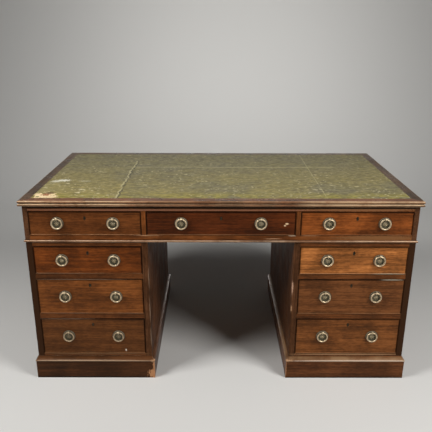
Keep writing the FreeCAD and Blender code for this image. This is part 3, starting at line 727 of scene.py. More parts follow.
@dataclass(frozen=True)
class WornLeather:
    """Old olive desk leather: mottled, scuffed, seamed in panels and torn at one corner."""

    name: str
    olive: Colour = (0.19, 0.165, 0.076)
    straw: Colour = (0.238, 0.195, 0.07)
    moss: Colour = (0.25, 0.21, 0.045)
    grey: Colour = (0.16, 0.14, 0.078)
    scuff: Colour = (0.36, 0.32, 0.18)
    fleck: Colour = (0.62, 0.55, 0.34)
    dulled: Colour = (0.62, 0.6, 0.57)
    paled: Colour = (1.5, 1.48, 1.45)
    flecks: tuple[tuple[float, float], ...] = ((22.0, 0.16), (46.0, 0.24), (90.0, 0.3))
    crack_start: float = 0.235
    crack_fade: float = 0.015
    seam_half_width: float = 0.0016
    long_seam_middle: float = 0.06
    long_seam_half_length: float = 0.5
    crack_half_width: float = 0.0038
    front_edge: float = -0.38
    back_edge: float = 0.38
    marks: tuple[Mark, ...] = ()

    def wavering_line(self, shader: Shader, across: Socket, at: float, half_width: float,
                      waver: Socket) -> Socket:
        """A line along a seam or crack.

        Args:
            shader: The material's builder.
            across: The coordinate that crosses the line.
            at: Where the line lies.
            half_width: Half its width.
            waver: How far it strays, in metres.

        Returns:
            1 on the line and 0 beside it.
        """
        off = shader.maths("SUBTRACT", shader.maths("SUBTRACT", across, at), waver)
        return shader.between(shader.maths("ABSOLUTE", off), half_width, half_width * 0.45)

    def material(self) -> bpy.types.Material:
        """Make the material.

        Returns:
            The material.
        """
        shader = Shader(self.name)
        across = shader.part(shader.place, Axis.X)
        along = shader.part(shader.place, Axis.Y)
        mottle = shader.layer(shader.place, MOTTLE)
        blotch = shader.noise(shader.place, 3.2, 3.0, 0.55)
        colour = shader.mix(shader.between(mottle, 0.4, 0.6), self.grey, self.olive)
        # Lighter and yellower towards the front, in patches.
        near = shader.between(along, self.back_edge, self.front_edge)
        front_patches = shader.times(near, shader.between(blotch, 0.38, 0.58))
        colour = shader.mix(front_patches, colour, self.straw)
        brink = shader.between(along, self.front_edge + 0.1, self.front_edge + 0.02)
        fresh = shader.times(brink, shader.between(mottle, 0.38, 0.56))
        colour = shader.mix(shader.times(fresh, 0.85), colour, self.moss)
        tooth = shader.layer(shader.place, TOOTH)
        shade = shader.ramp(tooth, ((0.32, self.dulled), (0.5, (1.0, 1.0, 1.0)), (0.68, self.paled)))
        colour = shader.mix(1.0, colour, shade, "MULTIPLY")
        rubbing = shader.layer(shader.place, RUBBING)
        colour = shader.mix(shader.between(rubbing, 0.44, 0.32, 0.0, 0.55), colour, scaled(self.grey, 0.6))
        colour = shader.mix(shader.between(rubbing, 0.54, 0.68, 0.0, 0.7), colour, self.scuff)
        worn = shader.between(shader.noise(shader.place, 5.5, 3.0, 0.6), 0.42, 0.56, 0.35, 1.0)
        worn = shader.times(worn, shader.between(along, 0.3, -0.1, 0.5, 1.0))
        shiver = shader.vector("MULTIPLY", shader.jitter(70.0), (0.012, 0.012, 0.0))
        shaken = shader.vector("ADD", shader.place, shiver)
        for scale, reach in self.flecks:
            distance, chance = shader.cells(shader.vector("MULTIPLY", shaken, (0.6, 1.0, 1.0)), scale)
            chosen = shader.between(shader.part(chance, Axis.X), 0.44, 0.5)
            fleck = shader.times(shader.between(distance, reach, 0.4 * reach), chosen)
            colour = shader.mix(shader.times(fleck, worn), colour, self.fleck)
        shake = shader.maths("SUBTRACT", shader.noise(shader.place, 24.0, 3.0, 0.6), 0.5)
        still = shader.times(shake, 0.002)
        strayed = shader.times(shake, 0.034)
        broken = shader.between(shader.noise(shader.place, 38.0, 2.0), 0.3, 0.5, 0.2, 1.0)
        pale, dark = scaled(self.scuff, 1.3), scaled(self.grey, 0.4)
        start, fade = self.crack_start, self.crack_fade
        ahead = shader.between(along, start + fade, start - fade)
        off = shader.maths("ABSOLUTE", shader.maths("SUBTRACT", across, self.long_seam_middle))
        inside = shader.between(off, self.long_seam_half_length, 0.88 * self.long_seam_half_length)
        seams = (
            (across, SEAM_X, self.seam_half_width, still, pale, 0.8),
            # A dark line beside the crack: painted shadow of its edge.
            (across, CRACK_X + 2.0 * self.crack_half_width, self.crack_half_width, strayed, dark, ahead),
            (across, CRACK_X, self.crack_half_width, strayed, pale, ahead),
            (along, SEAM_Y, 2.6 * self.seam_half_width, still, scaled(self.scuff, 1.45), inside),
        )
        ridges: Feed = 0.0
        for coordinate, position, half_width, waver, tint, strength in seams:
            line = self.wavering_line(shader, coordinate, position, half_width, waver)
            shown = shader.times(line, shader.times(broken, strength))
            colour = shader.mix(shown, colour, tint)
            ridges = shader.maths("ADD", ridges, line)
        colour = shader.marked(colour, self.marks)
        pebble, _ = shader.cells(shader.place, 620.0)
        crease = shader.noise(shader.place, 160.0, 4.0, 0.6)
        relief = shader.maths("ADD", shader.times(pebble, 0.5), crease)
        relief = shader.maths("SUBTRACT", relief, shader.times(ridges, 0.8))
        shader.dress(
            Base_Color=colour,
            Roughness=shader.between(rubbing, 0.3, 0.75, 0.46, 0.68),
            Specular_IOR_Level=0.3,
            Normal=shader.bump(relief, 0.0005, 0.5))
        return shader.material


@dataclass(frozen=True)
class PlainGround:
    """The plain pale floor and backdrop, which far from the desk pass into the room's own pale grey."""

    name: str
    room_pale: float
    tone: Colour = (0.664, 0.652, 0.624)
    quiet_from: float = 0.8
    quiet_to: float = 1.6
    quiet_share: float = 0.2
    far_front: float = -1.5
    far_side: float = 2.7
    fade: float = 1.6

    def material(self) -> bpy.types.Material:
        """Make the material, which behind the desk gives less light back to it.

        Returns:
            The material.
        """
        shader = Shader(self.name)
        across = shader.maths("ABSOLUTE", shader.part(shader.place, Axis.X))
        along = shader.part(shader.place, Axis.Y)
        diffuse = shader.add("ShaderNodeLightPath").outputs["Is Diffuse Ray"]
        bounce = shader.times(shader.between(along, self.quiet_from, self.quiet_to), diffuse)
        colour = shader.mix(bounce, self.tone, scaled(self.tone, self.quiet_share))
        far = shader.maths("MAXIMUM", shader.between(along, self.far_front, self.far_front - self.fade),
                           shader.between(across, self.far_side, self.far_side + self.fade))
        paled = shader.times(far, seen_rays(shader.tree))
        shader.dress(
            Base_Color=shader.mix(paled, colour, (0.0, 0.0, 0.0)),
            Roughness=0.75,
            Specular_IOR_Level=shader.between(paled, 0.0, 1.0, 0.5, 0.0),
            Emission_Strength=shader.times(paled, self.room_pale))
        return shader.material


class Paint:
    """Makes each finish's material once and puts materials on the solids of a node."""

    def __init__(self) -> None:
        """Start with no materials made."""
        self.made: dict[Finish, bpy.types.Material] = {}

    def material(self, finish: Finish) -> bpy.types.Material:
        """Give a finish's material, made on first use.

        Args:
            finish: The finish.

        Returns:
            Its material.
        """
        if finish not in self.made:
            self.made[finish] = finish.material()
        return self.made[finish]

    def cover(self, piece: bpy.types.Object, finish: Finish) -> None:
        """Put one finish on a whole piece.

        Args:
            piece: The piece.
            finish: Its finish.
        """
        piece.data.materials.clear()
        piece.data.materials.append(self.material(finish))

    def cover_node(self, name: str, finish: Finish) -> None:
        """Put one finish on a whole CAD node.

        Args:
            name: The node.
            finish: Its finish.
        """
        self.cover(frame["nodes"][name], finish)
        log.info("%s: one finish", name)

    def dress_node(self, name: str, choose: Callable[[int, "Solid"], Finish]) -> None:
        """Put a finish on each solid of a CAD node.

        Args:
            name: The node.
            choose: Picks the finish from a solid's number and the solid.
        """
        node = frame["nodes"][name]
        node.data.materials.clear()
        index_of: dict[Finish, int] = {}
        for number, solid in enumerate(solids_of(node)):
            finish = choose(number, solid)
            if finish not in index_of:
                index_of[finish] = len(node.data.materials)
                node.data.materials.append(self.material(finish))
            for face in range(solid.first, solid.last):
                node.data.polygons[face].material_index = index_of[finish]
        log.info("%s: %d finishes", name, len(index_of))


@dataclass(frozen=True)
class Solid:
    """One closed solid of a CAD node: the run of its faces and its box."""

    first: int
    last: int
    low: Vector
    high: Vector

    def middle(self) -> Vector:
        """The middle of the box."""
        return (self.low + self.high) / 2

    def span(self) -> Vector:
        """The lengths of the box."""
        return self.high - self.low


def solids_of(node: bpy.types.Object) -> list[Solid]:
    """Split a node's triangles into its closed solids, in the order that they were modelled.

    Args:
        node: The CAD node's object.

    Returns:
        The solids. One is complete when every edge of its triangles has met its other side.
    """
    mesh = node.data
    points = np.array([vertex.co for vertex in mesh.vertices])
    corners: dict[tuple[int, ...], int] = {}
    rounded = np.round(points * 1e6).astype(int).tolist()
    index = [corners.setdefault(tuple(point), len(corners)) for point in rounded]
    found: list[Solid] = []
    open_edges: dict[tuple[int, int], int] = {}
    first = 0
    for polygon in mesh.polygons:
        loop = [index[vertex] for vertex in polygon.vertices]
        for start, end in zip(loop, loop[1:] + loop[:1]):
            if start == end:
                continue
            edge = (min(start, end), max(start, end))
            balance = open_edges.pop(edge, 0) + (1 if start < end else -1)
            if balance:
                open_edges[edge] = balance
        if not open_edges:
            last = polygon.index + 1
            used = points[sorted({v for face in mesh.polygons[first:last] for v in face.vertices})]
            found.append(Solid(first, last, Vector(used.min(0)), Vector(used.max(0))))
            first = last
    return found


def deselect() -> None:
    """Leave nothing selected."""
    bpy.ops.object.select_all(action="DESELECT")


def activate(*pieces: bpy.types.Object) -> None:
    """Select pieces alone and make the first one active.

    Args:
        pieces: The pieces.
    """
    deselect()
    for piece in pieces:
        piece.select_set(True)
    bpy.context.view_layer.objects.active = pieces[0]


def settle(piece: bpy.types.Object) -> None:
    """Move a piece's place, turn and size into its mesh.

    Args:
        piece: The piece.
    """
    activate(piece)
    bpy.ops.object.transform_apply(location=True, rotation=True, scale=True)


def twin(piece: bpy.types.Object, name: str) -> bpy.types.Object:
    """Copy a piece with a mesh of its own.

    Args:
        piece: The piece.
        name: The copy's name.

    Returns:
        The copy.
    """
    copy = piece.copy()
    copy.data = piece.data.copy()
    copy.name = name
    bpy.context.scene.collection.objects.link(copy)
    return copy


# Finishes of the desk
RED_BROWN: Colour = (0.126, 0.036, 0.0072)
DEEP_BROWN: Colour = (0.084, 0.0216, 0.0048)
BARE_WOOD: Colour = (0.47, 0.22, 0.1)
PALE_CHIP: Colour = (0.62, 0.5, 0.36)
TAN_RUB: Colour = (0.42, 0.24, 0.13)
CREAM_CHIP: Colour = (0.75, 0.52, 0.3)
# Near-black painted shade, for the gaps round the drawers, under the top's overhang and round the
# keyholes.
GAP_SHADE: Colour = (0.012, 0.007, 0.004)
CONTACT_SHADOW: Colour = (0.006, 0.004, 0.003)
LINING = CarcaseWood("drawer_lining", (0.33, 0.2, 0.1), Grain.ALONG_Y)
LINING_ACROSS = CarcaseWood("drawer_lining_across", (0.31, 0.19, 0.095), Grain.ALONG_X)
LINING_UPRIGHT = CarcaseWood("partition_wood", (0.28, 0.17, 0.085), Grain.ALONG_Z)
PLATE_BRASS = AgedBrass("plate_brass")
ROSETTE_BRASS = AgedBrass("rosette_brass", (0.07, 0.06, 0.032), (0.2, 0.175, 0.095), (0.5, 0.42, 0.255),
                          hollow_height=0.0024, proud_height=0.0046)
DULL_ROSETTE_BRASS = AgedBrass("dull_rosette_brass", (0.045, 0.037, 0.02), (0.12, 0.1, 0.055),
                               (0.3, 0.24, 0.14), hollow_height=0.0024, proud_height=0.0046)
RING_BRASS = BrightBrass("ring_brass")
DULL_RING_BRASS = BrightBrass("dull_ring_brass", tone=(0.45, 0.335, 0.21), tarnish=(0.19, 0.13, 0.07))
EYE_BRASS = BrightBrass("eye_brass", tone=(0.6, 0.49, 0.31))
HINGE_BRASS = BrightBrass("hinge_brass", tone=(0.4, 0.32, 0.18), tarnish=(0.16, 0.12, 0.06))
LINER_BRASS = BrightBrass("keyhole_brass", tone=(0.11, 0.075, 0.035), tarnish=(0.035, 0.025, 0.015))
IRON = DarkIron("lock_iron")


@dataclass
class Carcase:
    """The fixed woodwork: top, frieze, bead, pedestals and plinths."""

    paint: Paint
    outside: float = 0.745
    plinth_face: float = 0.4175
    tolerance: float = 0.003
    rail_gap: float = 0.0045
    stile_gap: float = 0.0025
    stile_reach: Point = (0.03, 0.005, 0.6)
    # Half length of the middle stretch of the top's front moulding that gets less painted highlight.
    low_highlight_half_length: float = 0.33
    top_tone: Colour = (0.088, 0.048, 0.025)
    top_front_tone: Colour = (0.15, 0.058, 0.025)
    frieze_tone: Colour = (0.1386, 0.0396, 0.0084)
    bead_tone: Colour = (0.15, 0.0528, 0.018)
    pedestal_tone: Colour = (0.1122, 0.033, 0.0078)
    side_tone: Colour = (0.08, 0.031, 0.0125)
    stile_rub: Colour = (0.22, 0.145, 0.095)
    muntin_shades: tuple[float, float] = (1.25, 0.75)
    plinth_rub: Colour = (0.4, 0.25, 0.14)
    # Colours of the rounded mouldings: partly wear, partly painted highlight.
    top_nose_rub_and_highlight: Colour = (0.52, 0.36, 0.21)
    bead_nose_rub_and_highlight: Colour = (0.5, 0.34, 0.22)
    plinth_tones: tuple[Colour, Colour] = ((0.05, 0.0155, 0.0042), (0.1, 0.031, 0.0088))
    plinth_nose_rubs_and_highlights: tuple[Colour, Colour] = ((0.11, 0.04, 0.013), (0.25, 0.145, 0.07))

    def build(self) -> None:
        """Dress every fixed node."""
        self.dress_top()
        self.dress_frieze()
        self.dress_pedestals()
        self.dress_plinths()
        self.paint.cover_node("cupboard_hinges", HINGE_BRASS)

    def along(self, solid: Solid) -> Grain:
        """The grain of a flat board, along the longer side of its plan.

        Args:
            solid: The board.

        Returns:
            Its grain.
        """
        return Grain.ALONG_X if solid.span().x >= solid.span().y else Grain.ALONG_Y

    def shows(self, solid: Solid) -> bool:
        """Whether a solid reaches the front or the back of the desk."""
        return max(-solid.low.y, solid.high.y) > FRONT_FACE - self.tolerance

    def ends(self, solid: Solid) -> bool:
        """Whether a solid reaches the left or the right end of the desk."""
        return max(-solid.low.x, solid.high.x) > self.outside

    def rail(self, name: str, tone: Colour, shift: Point, marks: tuple[Mark, ...]) -> Finish:
        """A rail's finish, with painted shade along its gaps to the drawers."""
        return Mahogany(name, tone, Grain.ALONG_X, shift, wear=1.0, even=0.9, rubbed=GAP_SHADE,
                        edge_radius=self.rail_gap, marks=marks)

    def stile_shadow(self, solid: Solid) -> Mark:
        """The dark front edge of an outer side."""
        middle = solid.middle()
        return Mark((middle.x, -FRONT_FACE, middle.z), self.stile_reach, scaled(self.side_tone, 0.45), 0.3)

    def dress_top(self) -> None:
        """Mahogany border round the core."""
        def choose(number: int, solid: Solid) -> Finish:
            """Pick a solid's finish.

            Args:
                number: The solid's number in its node.
                solid: The solid.

            Returns:
                The finish.
            """
            tone = self.top_front_tone if solid.high.y < 0.0 else self.top_tone
            return Mahogany(f"top_{number}", tone, self.along(solid), (0.7 * number, 0.2, 0.4 * number),
                            wear=0.75, roughness=0.3, gloss=0.3, edge_radius=0.002, nose_rub_and_highlight=1.0,
                            nose_rub_and_highlight_colour=self.top_nose_rub_and_highlight, low_highlight_half_length=self.low_highlight_half_length)
        self.paint.dress_node("desk_top", choose)

    def dress_frieze(self) -> None:
        """Mahogany where the frieze shows, and plain wood inside it."""
        # Marks on the frieze front: rubs and chips, lighter strips of painted light and a painted shadow
        # under the top.
        front_marks = (
            front_mark(-0.283, 0.6315, 0.05, 0.002, TAN_RUB, 1.5),
            front_mark(0.272, 0.6315, 0.014, 0.002, PALE_CHIP, 1.2),
            front_mark(0.2, 0.6185, 0.03, 0.0016, TAN_RUB, 1.5),
            front_mark(0.34, 0.6315, 0.03, 0.0014, TAN_RUB, 1.5),
            front_mark(0.6, 0.622, 0.16, 0.011, (0.2, 0.085, 0.03), 1.6),
            # Lighter strips on the frieze's upper rail: painted light where the top's overhang shades it.
            front_mark(-0.3, 0.734, 0.8, 0.0034, (0.3, 0.13, 0.072), 0.8),
            front_mark(0.53, 0.736, 0.22, 0.006, (0.26, 0.11, 0.045), 1.2),
            # A dark line just under the top: painted shadow of its overhang.
            front_mark(0.0, 0.7425, 1.2, 0.0034, GAP_SHADE, 0.5),
        )

        def choose(number: int, solid: Solid) -> Finish:
            """Pick a solid's finish.

            Args:
                number: The solid's number in its node.
                solid: The solid.

            Returns:
                The finish.
            """
            if not self.shows(solid):
                return LINING
            if self.ends(solid):
                return Mahogany(f"frieze_end_{number}", self.side_tone, Grain.ALONG_Y,
                                (0.0, 0.3 * number, 0.1))
            if solid.span().x > solid.span().y:
                return self.rail(f"frieze_rail_{number}", self.frieze_tone, (0.3 * number, 0.1, 0.2), front_marks)
            tone = scaled(self.frieze_tone, self.muntin_shades[solid.middle().x > 0.0])
            # Muntins dark along their gaps to the drawers: painted shade.
            return Mahogany(f"frieze_muntin_{number}", tone, Grain.ALONG_Z, (0.0, 0.2 * number, 0.5),
                            wear=0.8, even=0.6, rubbed=GAP_SHADE, edge_radius=self.stile_gap)
        self.paint.dress_node("frieze_case", choose)

        def choose_bead(number: int, solid: Solid) -> Finish:
            """Pick a solid's finish.

            Args:
                number: The solid's number in its node.
                solid: The solid.

            Returns:
                The finish.
            """
            return Mahogany(f"frieze_bead_{number}", self.bead_tone, self.along(solid),
                            (0.4 * number, 0.3, 0.0), wear=0.6, roughness=0.24, gloss=0.5, nose_rub_and_highlight=0.9,
                            nose_rub_and_highlight_colour=self.bead_nose_rub_and_highlight)
        self.paint.dress_node("frieze_bead", choose_bead)

    def dress_pedestals(self) -> None:
        """Mahogany sides and rails, with plain wood for partitions and runners."""
        front_marks = (
            front_mark(-0.516, 0.1085, 0.24, 0.003, (0.16, 0.08, 0.035), 1.0),
            front_mark(0.516, 0.1075, 0.24, 0.0035, (0.3, 0.17, 0.085), 1.0),
            Mark((0.2825, -0.404, 0.41), (0.005, 0.007, 0.03), (0.5, 0.3, 0.2), 1.6),
            Mark((0.2825, -0.404, 0.32), (0.004, 0.006, 0.016), TAN_RUB, 1.6),
            *(Mark((-0.2825, -0.406, height), (0.0024, 0.004, reach), self.stile_rub, 2.0)
              for height, reach in ((0.45, 0.04), (0.31, 0.05), (0.19, 0.04))),
        )
        for side in SIDES:
            def choose(number: int, solid: Solid) -> Finish:
                """Pick a solid's finish.

                Args:
                    number: The solid's number in its node.
                    solid: The solid.

                Returns:
                    The finish.
                """
                width, depth, height = solid.span()
                if not self.shows(solid):
                    return LINING_UPRIGHT if height > depth else LINING
                if height <= width:
                    return self.rail(f"{side}_pedestal_rail_{number}", self.pedestal_tone,
                                     (0.3 * number, 0.1, 0.2 * number), front_marks)
                marks = (self.stile_shadow(solid),) if self.ends(solid) else front_marks
                # Sides dark along their gaps to the drawers, and darker near the frieze, top and plinth
                # through the long occlusion reach: painted shade.
                return Mahogany(f"{side}_pedestal_side_{number}", self.side_tone, Grain.ALONG_Z,
                                (0.1 * number, 0.4 * number, 0.2), wear=0.8, even=0.5, rubbed=GAP_SHADE,
                                edge_radius=self.stile_gap, roughness=0.5, gloss=0.1, dirt_and_shade_reach=0.14,
                                marks=marks)
            self.paint.dress_node(f"{side}_pedestal_case", choose)

    def dress_plinths(self) -> None:
        """Darker boards with rubbed top edges, bare corners at the kneehole, light nosings that are partly
        wear and partly painted highlight, and a painted contact shadow along the floor.
        """
        face = -self.plinth_face
        bare = (
            # Near-black lines along the plinths' feet: painted contact shadow where they meet the floor.
            Mark((-0.516, face, 0.0), (0.34, 0.006, 0.007), CONTACT_SHADOW, 0.6),
            Mark((0.516, face, 0.0), (0.34, 0.006, 0.006), CONTACT_SHADOW, 0.6),
            # Light lines along the nosings: partly wear, partly painted highlight.
            Mark((-0.53, -0.4195, 0.0822), (0.29, 0.008, 0.0032), (0.34, 0.22, 0.135), 0.9),
            Mark((0.57, -0.4195, 0.0822), (0.3, 0.008, 0.0034), (0.5, 0.37, 0.27), 0.9),
            Mark((-0.274, face, 0.016), (0.022, 0.016, 0.026), BARE_WOOD, 1.8),
            Mark((-0.2705, face, 0.05), (0.008, 0.01, 0.035), BARE_WOOD, 1.6),
            Mark((-0.273, face, 0.08), (0.014, 0.014, 0.006), TAN_RUB, 1.8),
            Mark((0.2705, face, 0.045), (0.004, 0.006, 0.05), BARE_WOOD, 1.4),
            Mark((0.278, face, 0.082), (0.02, 0.01, 0.005), TAN_RUB, 1.8),
        )

        def choose(number: int, solid: Solid) -> Finish:
            """Pick a solid's finish.

            Args:
                number: The solid's number in its node.
                solid: The solid.

            Returns:
                The finish.
            """
            right = solid.middle().x > 0.0
            return Mahogany(f"plinth_{number}", self.plinth_tones[right], self.along(solid),
                            (0.5 * number, 0.2, 0.3 * number), wear=1.0, marks=bare,
                            rubbed=self.plinth_rub, edge_radius=0.0022, nose_rub_and_highlight=0.8,
                            nose_rub_and_highlight_colour=self.plinth_nose_rubs_and_highlights[right])
        self.paint.dress_node("plinths", choose)


@dataclass(frozen=True)
class DrawerLook:
    """What sets one drawer's front apart: its tone and the marks on it."""

    base: str
    tone: Colour
    marks: tuple[Mark, ...] = ()
    # How light the foot bead's rounded top is: partly wear, partly painted highlight.
    foot_rub_and_highlight: float = 0.6
    ring: Finish = RING_BRASS
    rosette: Finish = ROSETTE_BRASS


@dataclass
class Rosette:
    """The small flower cast on the boss of a ring pull's plate."""

    petals: int = 8
    petal_length: float = 0.0046
    petal_width: float = 0.0028
    petal_rise: float = 0.0011
    petal_middle: float = 0.0078
    petal_tilt: float = math.radians(16.0)
    petal_height: float = 0.0019
    button_radius: float = 0.0024
    button_height: float = 0.0024
    pinch: float = 0.45
    cut_depth: float = 0.25

    def model_petal(self) -> bpy.types.Object:
        """Model one petal, pointing along X and facing up.

        Returns:
            The petal.
        """
        deselect()
        bpy.ops.mesh.primitive_uv_sphere_add(segments=16, ring_count=10, radius=1.0)
        petal = bpy.context.object
        bpy.ops.object.mode_set(mode="EDIT")
        bpy.ops.mesh.select_all(action="SELECT")
        bpy.ops.mesh.bisect(plane_co=(0.0, 0.0, -self.cut_depth), plane_no=(0.0, 0.0, 1.0), use_fill=True,
                            clear_inner=True)
        bpy.ops.mesh.select_all(action="SELECT")
        bpy.ops.transform.resize(value=(self.petal_length, self.petal_width, self.petal_rise),
                                 center_override=(0.0, 0.0, 0.0))
        bpy.ops.object.mode_set(mode="OBJECT")
        for vertex in petal.data.vertices:
            vertex.select = vertex.co.x < -0.3 * self.petal_length
        bpy.ops.object.mode_set(mode="EDIT")
        bpy.ops.transform.resize(value=(1.0, self.pinch, 1.0))
        bpy.ops.object.mode_set(mode="OBJECT")
        petal.rotation_euler = (0.0, self.petal_tilt, 0.0)
        petal.location = (self.petal_middle, 0.0, self.petal_height)
        settle(petal)
        return petal

    def model(self) -> bpy.types.Object:
        """Model the whole flower, facing up from the plate's floor.

        Returns:
            The flower.
        """
        petal = self.model_petal()
        pieces = [petal]
        for number in range(1, self.petals):
            copy = twin(petal, f"petal_{number}")
            copy.rotation_euler = (0.0, 0.0, math.tau * number / self.petals)
            settle(copy)
            pieces.append(copy)
        deselect()
        bpy.ops.mesh.primitive_uv_sphere_add(segments=16, ring_count=10, radius=self.button_radius,
                                             location=(0.0, 0.0, self.button_height))
        button = bpy.context.object
        bpy.ops.object.mode_set(mode="EDIT")
        bpy.ops.mesh.select_all(action="SELECT")
        bpy.ops.mesh.bisect(plane_co=(0.0, 0.0, self.button_height - self.button_radius * self.cut_depth),
                            plane_no=(0.0, 0.0, 1.0), use_fill=True, clear_inner=True)
        bpy.ops.object.mode_set(mode="OBJECT")
        settle(button)
        activate(*pieces, button)
        bpy.ops.object.join()
        bpy.ops.object.shade_smooth_by_angle(angle=math.radians(40.0))
        return petal


@dataclass
class Drawers:
    """All drawers with their brass, rings and rosettes."""

    paint: Paint
    looks: tuple[DrawerLook, ...]
    rosette: Rosette = field(default_factory=Rosette)
    plate_floor: float = 0.0014
    # Reach of the painted shade round each keyhole.
    keyhole_shade_reach: Point = (0.0052, 0.006, 0.0085)
    bead_radius: float = 0.0008
    foot_nose_rub_and_highlight: Colour = (0.42, 0.21, 0.095)
    front_solid: int = 0
    lining_solids: tuple[int, ...] = (1, 2, 3, 4)
    across_solids: tuple[int, ...] = (3, 4)
    liner_solid: int = 1
    plate_solids: tuple[int, ...] = (2, 5)
    eye_solids: tuple[int, ...] = (3, 6)

    def build(self) -> None:
        """Dress each drawer and set its rosettes."""
        pattern = self.rosette.model()
        for number, look in enumerate(self.looks):
            self.dress_wood(number, look)
            self.dress_brass(look)
            self.set_rosettes(pattern, look)
        bpy.data.objects.remove(pattern)

    def dress_wood(self, number: int, look: DrawerLook) -> None:
        """Mahogany on the front and its beads, the top and side beads near black as painted shade of the
        gaps, lining wood behind.

        Args:
            number: The drawer's number, which sets its part of the figure.
            look: The drawer's look.
        """
        shift = (0.37 * number, 0.21 * number, 0.53 * number)
        hole = solids_of(frame["nodes"][f"{look.base}_brassware"])[self.liner_solid].middle()
        # A dark patch round the keyhole: painted shade of the hole.
        keyhole_shade = Mark((hole.x, math.copysign(FRONT_FACE, hole.y), hole.z), self.keyhole_shade_reach, GAP_SHADE, 0.5)
        front = Mahogany(f"{look.base}_front", look.tone, Grain.ALONG_X, shift, marks=(*look.marks, keyhole_shade))
        # Top and side beads near black: painted shade of the gaps round the drawer.
        bead = Mahogany(f"{look.base}_beads", scaled(look.tone, 0.2), Grain.ALONG_X, shift, wear=0.0,
                        roughness=0.6, gloss=0.04, edge_radius=self.bead_radius, marks=look.marks)
        # The foot bead, lighter along its rounded top: partly wear, partly painted highlight.
        foot = Mahogany(f"{look.base}_foot_bead", scaled(look.tone, 0.9), Grain.ALONG_X, shift, wear=0.4,
                        roughness=0.5, gloss=0.06, edge_radius=self.bead_radius, dirt_and_shade_reach=0.003,
                        marks=look.marks, nose_rub_and_highlight=look.foot_rub_and_highlight, nose_rub_and_highlight_colour=self.foot_nose_rub_and_highlight)
        low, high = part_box(f"{look.base}_drawer")

        def choose(index: int, solid: Solid) -> Finish:
            """Pick a solid's finish.

            Args:
                index: The solid's number in its node.
                solid: The solid.

            Returns:
                The finish.
            """
            if index in self.across_solids:
                return LINING_ACROSS
            if index in self.lining_solids:
                return LINING
            if index == self.front_solid:
                return front
            return foot if solid.high.z < (low.z + high.z) / 2 else bead
        self.paint.dress_node(f"{look.base}_drawer", choose)

    def dress_brass(self, look: DrawerLook) -> None:
        """Dark lock and nuts, aged plates, bright eyes and rings.

        Args:
            look: The drawer's look.
        """
        def choose(index: int, solid: Solid) -> Finish:
            """Pick a solid's finish.

            Args:
                index: The solid's number in its node.
                solid: The solid; not used.

            Returns:
                The finish.
            """
            if index == self.liner_solid:
                return LINER_BRASS
            if index in self.plate_solids:
                return PLATE_BRASS
            return EYE_BRASS if index in self.eye_solids else IRON
        self.paint.dress_node(f"{look.base}_brassware", choose)
        for side in SIDES:
            self.paint.cover_node(f"{look.base}_ring_{side}", look.ring)

    def set_rosettes(self, pattern: bpy.types.Object, look: DrawerLook) -> None:
        """Set a rosette on each plate of a drawer.

        Args:
            pattern: The rosette, facing up at the origin.
            look: The drawer's look.
        """
        solids = solids_of(frame["nodes"][f"{look.base}_brassware"])
        for side, index in zip(SIDES, self.plate_solids):
            plate = solids[index]
            outwards = -1.0 if plate.middle().y < 0.0 else 1.0
            seat = Vector((plate.middle().x, outwards * (FRONT_FACE + self.plate_floor), plate.middle().z))
            piece = twin(pattern, f"{look.base}_rosette_{side}")
            piece.rotation_euler = (-outwards * math.pi / 2, 0.0, 0.0)
            piece.location = seat
            settle(piece)
            self.paint.cover(piece, look.rosette)
            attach(piece, f"{look.base}_drawer")
            log.info("%s on its plate", piece.name)


@dataclass
class Cupboards:
    """The two panelled doors at the back, with their brass."""

    paint: Paint
    tone: Colour = (0.11, 0.033, 0.008)
    rail_solids: tuple[int, ...] = (3, 4)
    lock_solid: int = 0
    liner_solid: int = 1

    def build(self) -> None:
        """Dress both doors."""
        for side in SIDES:
            self.dress_door(side)

    def dress_door(self, side: str) -> None:
        """Upright grain on panel and stiles, level grain on rails.

        Args:
            side: Which door.
        """
        def choose_wood(index: int, solid: Solid) -> Finish:
            """Pick a solid's finish.

            Args:
                index: The solid's number in its node.
                solid: The solid; not used.

            Returns:
                The finish.
            """
            grain = Grain.ALONG_X if index in self.rail_solids else Grain.ALONG_Z
            return Mahogany(f"{side}_door_{index}", self.tone, grain, (0.4 * index, 0.3, 0.7 * index))

        def choose_brass(index: int, solid: Solid) -> Finish:
            """Pick a solid's finish.

            Args:
                index: The solid's number in its node.
                solid: The solid; not used.

            Returns:
                The finish.
            """
            if index == self.lock_solid:
                return IRON
            return LINER_BRASS if index == self.liner_solid else HINGE_BRASS
        self.paint.dress_node(f"{side}_cupboard_door", choose_wood)
        self.paint.dress_node(f"{side}_cupboard_brassware", choose_brass)


